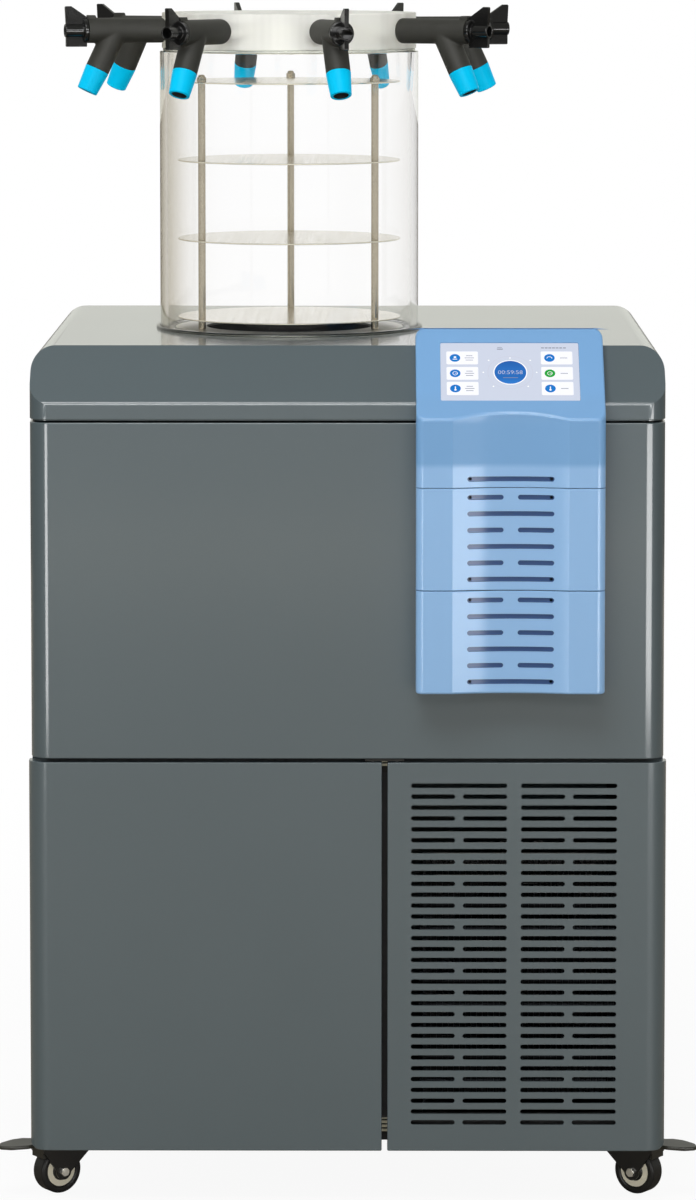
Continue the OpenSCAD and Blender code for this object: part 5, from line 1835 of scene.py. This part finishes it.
class DRYER_OT_forks(bpy.types.Operator):
    """Make the caster forks with their axle nuts"""

    bl_idname = "dryer.forks"
    bl_label = "Caster forks"
    bl_options = {"REGISTER", "UNDO"}

    def leg(self, low_y, braked):
        """A leg of the fork; a braked caster's leg has an ear for the pedal's pin."""
        s = sizes().caster
        top = s.crown + CROWN_PLATE
        high_y = low_y + s.leg
        trail = s.trail
        leg = prism("leg", [
            (CROWN_REAR, top, 0), (CROWN_REAR, s.crown - 8 * MM, 3 * MM),
            (trail - LEG_END, s.wheel - MM, 0), (trail + LEG_END, s.wheel - MM, 0),
            (trail + 10 * MM, top - 6 * MM, 4 * MM), (CROWN_FRONT, top, 0),
        ], "Y", low_y, high_y)
        boss = rod("boss", (trail, low_y, s.wheel), (0, 1, 0), LEG_END, s.leg, 64)
        carve(leg, "UNION", boss)
        if braked:
            pivot_x, pivot_z = pivot()
            ear = prism("ear", [
                (trail, s.wheel + 8 * MM, 0), (trail + 8 * MM, s.wheel, 0),
                (pivot_x + 5 * MM, pivot_z - 3 * MM, 0), (pivot_x, pivot_z + 5 * MM, 0),
                (CROWN_FRONT, top - MM, 0),
            ], "Y", low_y, high_y)
            tip = rod("tip", (pivot_x, low_y, pivot_z), (0, 1, 0), 6 * MM, s.leg, 48)
            carve(leg, "UNION", ear, tip)
        return leg

    def fork(self, braked):
        s = sizes().caster
        inside = s.tread / 2 + s.leg_gap
        outside = inside + s.leg
        top = s.crown + CROWN_PLATE
        crown = lathe("fork", [
            (SWIVEL_BORE, s.crown, 0), (SWIVEL_DISC, s.crown, 0.6 * MM),
            (SWIVEL_DISC, top, 1.4 * MM), (SWIVEL_BORE, top, 0),
        ])
        plate = block("plate", (7 * MM, -outside, s.crown), (CROWN_FRONT, outside, top))
        rear_plate = block("plate", (CROWN_REAR, -outside, s.crown), (-7 * MM, outside, top))
        carve(
            crown, "UNION", plate, rear_plate, self.leg(-outside, braked),
            self.leg(inside, braked),
        )
        shafts = [("axle", s.trail, s.wheel, AXLE)]
        if braked:
            shafts.append(("pin", *pivot(), 2.5 * MM))
        for name, x, z, radius in shafts:
            start = (x, 0.5 * MM - outside, z)
            carve(crown, "UNION", rod(name, start, (0, 1, 0), radius, 2 * outside - MM, 32))
        return crown

    def axle_nuts(self):
        s = sizes().caster
        outside = s.tread / 2 + s.leg_gap + s.leg
        nuts = []
        for side in (-1, 1):
            nut = prism("nut", hexagon(5.2 * MM, 12), "Z", -0.3 * MM, NUT_HEIGHT)
            chamfers = lathe("chamfers", [
                (0, -MM, 0), (6 * MM, -MM, 0), (6 * MM, 2.2 * MM, 0),
                (4.4 * MM, NUT_HEIGHT, 0), (0, NUT_HEIGHT, 0),
            ], 48)
            carve(nut, "INTERSECT", chamfers)
            end = lathe("end", [
                (0, 0, 0), (2.9 * MM, 0, 0), (2.9 * MM, 3.4 * MM, 0.6 * MM), (0, 3.4 * MM, 0),
            ], 32)
            carve(nut, "UNION", end)
            turned = Matrix.Rotation(-side * math.pi / 2, 4, "X")
            nuts.append(
                moved(nut, Matrix.Translation((s.trail, side * outside, s.wheel)) @ turned),
            )
        return joined("nuts", nuts)

    def execute(self, context):
        black = painted_metal("fork_black", tone(20, 20, 20), 0.34)
        silver = steel("axle_steel", tone(236, 234, 226), 0.38)
        nuts = self.axle_nuts()
        for braked in (True, False):
            fork = self.fork(braked)
            numbers = range(1, BRAKED + 1) if braked else range(BRAKED + 1, CASTERS + 1)
            for number in numbers:
                place, body = caster_place(number), f"caster_{number}"
                placed(
                    fork, f"fork_{number}", place, body, "fork_black", black,
                    node=f"caster_fork_{number}",
                )
                placed(nuts, f"axle_nuts_{number}", place, body, "bright_steel", silver, 25)
            discard(fork)
        discard(nuts)
        return {"FINISHED"}


class DRYER_OT_pedals(bpy.types.Operator):
    """Make the brake pedals of the front casters"""

    bl_idname = "dryer.pedals"
    bl_label = "Brake pedals"
    bl_options = {"REGISTER", "UNDO"}

    def pedal(self):
        s = sizes().caster
        half = s.tread / 2 + s.leg_gap - 0.5 * MM
        pivot_x, pivot_z = pivot()
        wide, tip = s.pedal_width, s.pedal
        hub = rod("pedal", (pivot_x, -half, pivot_z), (0, 1, 0), 5 * MM, 2 * half, 48)
        toe = block(
            "toe", (pivot_x + 1.5 * MM, -half, pivot_z - 10.5 * MM),
            (pivot_x + 4.5 * MM, half, pivot_z),
        )
        riser = block(
            "riser", (pivot_x - 3 * MM, -half, pivot_z),
            (pivot_x + 5 * MM, half, pivot_z + 6 * MM),
        )
        outline = [
            (pivot_x - 3 * MM, -half, 1.5 * MM), (pivot_x + 7 * MM, -half, 4 * MM),
            (pivot_x + 14 * MM, MM - wide, 5 * MM), (tip - 26 * MM, -wide, 12 * MM),
            (tip - 8 * MM, -12 * MM, 10 * MM), (tip, -3 * MM, 3.2 * MM),
        ]
        outline += [(x, -y, radius) for x, y, radius in reversed(outline)]
        leaf = prism("leaf", outline, "Z", pivot_z + 5 * MM, pivot_z + 9 * MM)
        round_edges(leaf, lambda edge: on(edge, z=pivot_z + 9 * MM), 1.6 * MM, 4)
        round_edges(leaf, lambda edge: on(edge, z=pivot_z + 5 * MM), 0.8 * MM, 2)
        ribs = [
            block(
                "rib", (tip - 40 * MM, y - 0.7 * MM, pivot_z + 3.6 * MM),
                (tip - 12 * MM, y + 0.7 * MM, pivot_z + 5.4 * MM),
            )
            for y in (-6 * MM, 0, 6 * MM)
        ]
        carve(hub, "UNION", toe, riser, leaf, *ribs)
        pin = rod("pin", (pivot_x, -2 * half, pivot_z), (0, 1, 0), 2.55 * MM, 4 * half, 32)
        return carve(hub, "DIFFERENCE", pin)

    def execute(self, context):
        pedal = self.pedal()
        nylon = moulded_plastic("pedal_nylon", tuple(sizes().colours.pedal), 0.42, 0.00004)
        for number in range(1, BRAKED + 1):
            placed(
                pedal, f"pedal_{number}", caster_place(number), f"brake_{number}",
                "pedal_nylon", nylon, node=f"caster_brake_{number}",
            )
        discard(pedal)
        return {"FINISHED"}


# ---- The construction's own pieces ----


@cached
def trap_steel_painted_shade():
    """The cold trap: a bright flange on a near-black pot, the black being painted shade inside the
    trap.
    """
    f = Finish("trap_steel")
    height = f.axes()[2]
    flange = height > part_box("top_cover")[1].z - 0.2 * MM
    brushed = f.noise(200, 2.0, 0.6, f.stretched((1, 1, 0.05)))
    return f.done(f.surface(
        # Below the flange the pot is near-black: painted shade.
        Base_Color=f.blend(flange, tone(12, 12, 12), f.varied(tone(196, 194, 186), 0.04, 20)),
        Metallic=flange, Roughness=0.3 + (1 - flange) * 0.3 + (brushed - 0.5) * 0.1,
        Normal=f.bump(brushed, 0.00001, 0.3),
    ))


# Height of one knuckle of a hinge with the pin's bright part above it; this is also the pitch of
# the painted glint bands
GLINT_PITCH = 4.5 * MM


@cached
def hinge_steel():
    """Blackened hinge arms whose pins show bright bands along them: partly the pins' bright steel,
    partly painted glints.
    """
    f = Finish("hinge_steel")
    height = f.axes()[2]
    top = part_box("left_door")[1].z
    # Painted glints: bright bands one knuckle apart on the pins, partly the pins' own bright
    # steel.
    glint_bands = (height * (math.tau / GLINT_PITCH)).sine()
    pin = (height < top - MM) * (height > top - 9 * MM)
    pin = pin.at_least(height < top / 2) * (glint_bands > -0.4)
    return f.done(f.surface(
        Base_Color=f.blend(pin, tone(18, 18, 18), f.varied(tone(222, 218, 196), 0.05, 60)),
        Metallic=pin * 0.4, Roughness=0.28 + f.noise(300) * 0.1,
    ))


class DRYER_OT_machinery(bpy.types.Operator):
    """Give every remaining piece of the construction its finish"""

    bl_idname = "dryer.machinery"
    bl_label = "Machinery finishes"
    bl_options = {"REGISTER", "UNDO"}

    def execute(self, context):
        grey = cabinet_paint()
        bright = steel("bright_steel", tone(192, 188, 176), 0.26)
        finishes = {
            "left_side_panel": grey, "right_side_panel": grey, "rear_panel": grey,
            "base_frame": painted_metal("frame_paint", tone(40, 40, 41), 0.55),
            "hinge_brackets": hinge_steel(), "caster_plates": bright,
            "vacuum_line": bright, "drain_line": bright,
            "cold_trap": trap_steel_painted_shade(),
            "trap_coil": steel("coil_copper", tone(196, 128, 92), 0.3),
            "compressor": painted_metal("compressor_enamel", tone(30, 31, 33), 0.4),
            # The condenser's fins are dark as painted shade, so the louvre slots look black.
            "condenser": fins("condenser_fins", tone(40, 42, 45)),
            "fan_shroud": painted_metal("shroud_paint", tone(44, 44, 46), 0.5),
            "fan_rotor": moulded_plastic("fan_plastic", tone(28, 28, 30), 0.45),
            "vacuum_pump": painted_metal("pump_paint", tone(96, 118, 108), 0.4),
            "power_inlet": moulded_plastic("inlet_plastic", tone(30, 30, 31), 0.5),
            "power_switch": moulded_plastic("switch_plastic", tone(24, 24, 25), 0.35),
        }
        for node, finish in finishes.items():
            shown = frame["nodes"][node]
            shown.data.materials.clear()
            shown.data.materials.append(finish)
        return {"FINISHED"}


# ---- Stage ----


# Lamps: name, place, aim, width, height, the setting for its power, its share of that power,
# and whether it lights everything, only softly without a glint, or only as a glint
LAMPS = (
    ("key", (-0.6, -2.4, 3.6), (0, -0.2, 0.7), 2.4, 1.2, "key", 1.0, "ALL"),
    ("left_fill", (-3.4, -0.8, 1.8), (0, 0, 0.7), 1.2, 1.6, "fill", 1.0, "SOFT"),
    ("right_fill", (3.4, -0.8, 1.8), (0, 0, 0.7), 1.2, 1.6, "fill", 1.0, "SOFT"),
    ("front", (0, -6.6, 0.5), (0, 0, 0.55), 3.0, 1.4, "front", 1.0, "SOFT"),
    ("rear_left", (-3.2, 4.2, 1.4), (0, 0, 0.55), 3.0, 1.4, "front", 0.7, "SOFT"),
    ("rear_right", (3.2, 4.2, 1.4), (0, 0, 0.55), 3.0, 1.4, "front", 0.7, "SOFT"),
    ("left_panel", (-1.55, -3.2, 0.32), (0, -0.3, 0.6), 0.8, 0.6, "strip", 0.7, "GLINT"),
    ("right_panel", (1.75, -3.2, 0.32), (0, -0.3, 0.6), 1.8, 0.6, "strip", 1.5, "GLINT"),
    ("crease_strip", (0, -3.2, 1.9), (0, -0.3, 0.6), 3.0, 0.5, "crease", 1.0, "GLINT"),
)
FLOOR_SIZE = 60
SENSOR = 36
# How far from the middle the floor's shadow starts to fade, over what distance, and its share
SHADOW_REACH, SHADOW_FADE, SHADOW_SHARE = 0.75, 1.6, 0.07
# Colours of the floor and of the room in mirrored and scattered light
FLOOR_MIRRORED = (0.34, 0.3, 0.24)
ROOM_MIRRORED = (0.985, 0.99, 0.91)
# Strength of the mirrored room, and what is added to it straight behind the object
ROOM_GLOSS, BACK_GLOSS = 0.28, 0.55


class DRYER_OT_stage(bpy.types.Operator):
    """Make the pale floor, the studio light and the camera"""

    bl_idname = "dryer.stage"
    bl_label = "Stage"
    bl_options = {"REGISTER", "UNDO"}

    def floor(self):
        """A floor seen as white with a faint shadow, and mirrored and lit as a warm one."""
        settle()
        bpy.ops.mesh.primitive_plane_add(size=FLOOR_SIZE, location=(0, 0, 0))
        floor = begun("floor")
        f = Finish("floor_white")
        across, along, _ = f.axes()
        away = (across * across + along * along).root()
        far = ((away - SHADOW_REACH) / SHADOW_FADE).clamped()
        shown = self.seen(f)[0]
        matt = f.add("ShaderNodeBsdfDiffuse", inputs={
            "Color": f.blend(shown, FLOOR_MIRRORED, f.varied((0.9, 0.9, 0.9), 0.01, 3)),
        }).outputs[0]
        white = f.add("ShaderNodeEmission", inputs={"Color": (1, 1, 1), "Strength": 1.0})
        whiteness = shown * (far * SHADOW_SHARE + (1 - SHADOW_SHARE))
        floor.data.materials.append(f.done(f.mixed(whiteness, matt, white.outputs[0])))

    def seen(self, shading):
        """1 for rays that show the backdrop straight or through the acrylic; 1 for mirrored."""
        path = shading.add("ShaderNodeLightPath")
        straight, mirrored, through = (
            Value(shading, path.outputs[name])
            for name in ("Is Camera Ray", "Is Glossy Ray", "Is Transmission Ray")
        )
        return straight.at_least(through), mirrored * (1 - through)

    def world(self, ambient):
        """A white backdrop; what is mirrored of it is brighter behind the object."""
        room = Shading(bpy.data.worlds.new("studio"), "ShaderNodeOutputWorld")
        shown, mirrored = self.seen(room)
        way = room.add("ShaderNodeTexCoord").outputs["Generated"]
        parts = room.add("ShaderNodeSeparateXYZ", inputs={0: way})
        behind = Value(room, parts.outputs[1]).at_least(0.0)
        gloss = mirrored * (behind * BACK_GLOSS + ROOM_GLOSS)
        light = room.add("ShaderNodeBackground", inputs={
            "Color": room.blend(mirrored, (1, 1, 1), ROOM_MIRRORED),
            "Strength": (shown + (1 - shown) * ambient).at_least(gloss),
        })
        bpy.context.scene.world = room.done(light.outputs[0])

    def lamp(self, name, place, aim, wide, tall, power):
        settle()
        bpy.ops.object.light_add(type="AREA", location=place)
        lamp = bpy.context.object
        lamp.name = name
        lamp.data.shape = "RECTANGLE"
        lamp.data.size = wide
        lamp.data.size_y = tall
        lamp.data.energy = power
        facing = (Vector(aim) - Vector(place)).to_track_quat("-Z", "Y")
        lamp.rotation_euler = facing.to_euler()
        lamp.visible_transmission = False
        return lamp

    def camera(self, s):
        settle()
        bpy.ops.object.camera_add(
            location=(s.side, -s.distance, s.height), rotation=(math.pi / 2 - s.pitch, 0, s.yaw),
        )
        camera = bpy.context.object
        camera.data.sensor_fit = "AUTO"
        camera.data.sensor_width = SENSOR
        camera.data.lens = s.lens
        camera.data.shift_y = s.shift
        bpy.context.scene.camera = camera

    def execute(self, context):
        s = sizes().stage
        self.floor()
        self.world(s.ambient)
        for name, place, aim, width, height, setting, share, lit in LAMPS:
            lamp = self.lamp(name, place, aim, width, height, share * getattr(s, setting))
            lamp.visible_glossy = lit != "SOFT"
            lamp.visible_diffuse = lit != "GLINT"
        self.camera(s)
        bpy.context.scene.view_settings.view_transform = "Standard"
        return {"FINISHED"}


# ---- Panel and registration ----

STEPS = (
    "top_cover", "front_panel", "doors", "console", "screen", "chamber", "shelves", "valves",
    "knobs", "wheels", "forks", "pedals", "machinery", "stage",
)


class DRYER_PT_panel(bpy.types.Panel):
    """The operators in the order they are used"""

    bl_idname = "DRYER_PT_panel"
    bl_label = "Freeze dryer"
    bl_space_type = "VIEW_3D"
    bl_region_type = "UI"
    bl_category = "Freeze dryer"

    def draw(self, context):
        for step in STEPS:
            self.layout.operator(f"dryer.{step}")


CLASSES = (
    CabinetSizes, ConsoleSizes, ChamberSizes, ValveSizes, CasterSizes, DryerColours,
    StageSettings, DryerSettings, DRYER_OT_top_cover, DRYER_OT_front_panel, DRYER_OT_doors,
    DRYER_OT_console, DRYER_OT_screen, DRYER_OT_chamber, DRYER_OT_shelves, DRYER_OT_valves,
    DRYER_OT_knobs, DRYER_OT_wheels, DRYER_OT_forks, DRYER_OT_pedals, DRYER_OT_machinery,
    DRYER_OT_stage, DRYER_PT_panel,
)


def register():
    for kind in CLASSES:
        bpy.utils.register_class(kind)
    bpy.types.Scene.freeze_dryer = bpy.props.PointerProperty(type=DryerSettings)


def unregister():
    del bpy.types.Scene.freeze_dryer
    for kind in reversed(CLASSES):
        bpy.utils.unregister_class(kind)


def main():
    register()
    for step in STEPS:
        getattr(bpy.ops.dryer, step)()


if __name__ == "__main__":
    main()
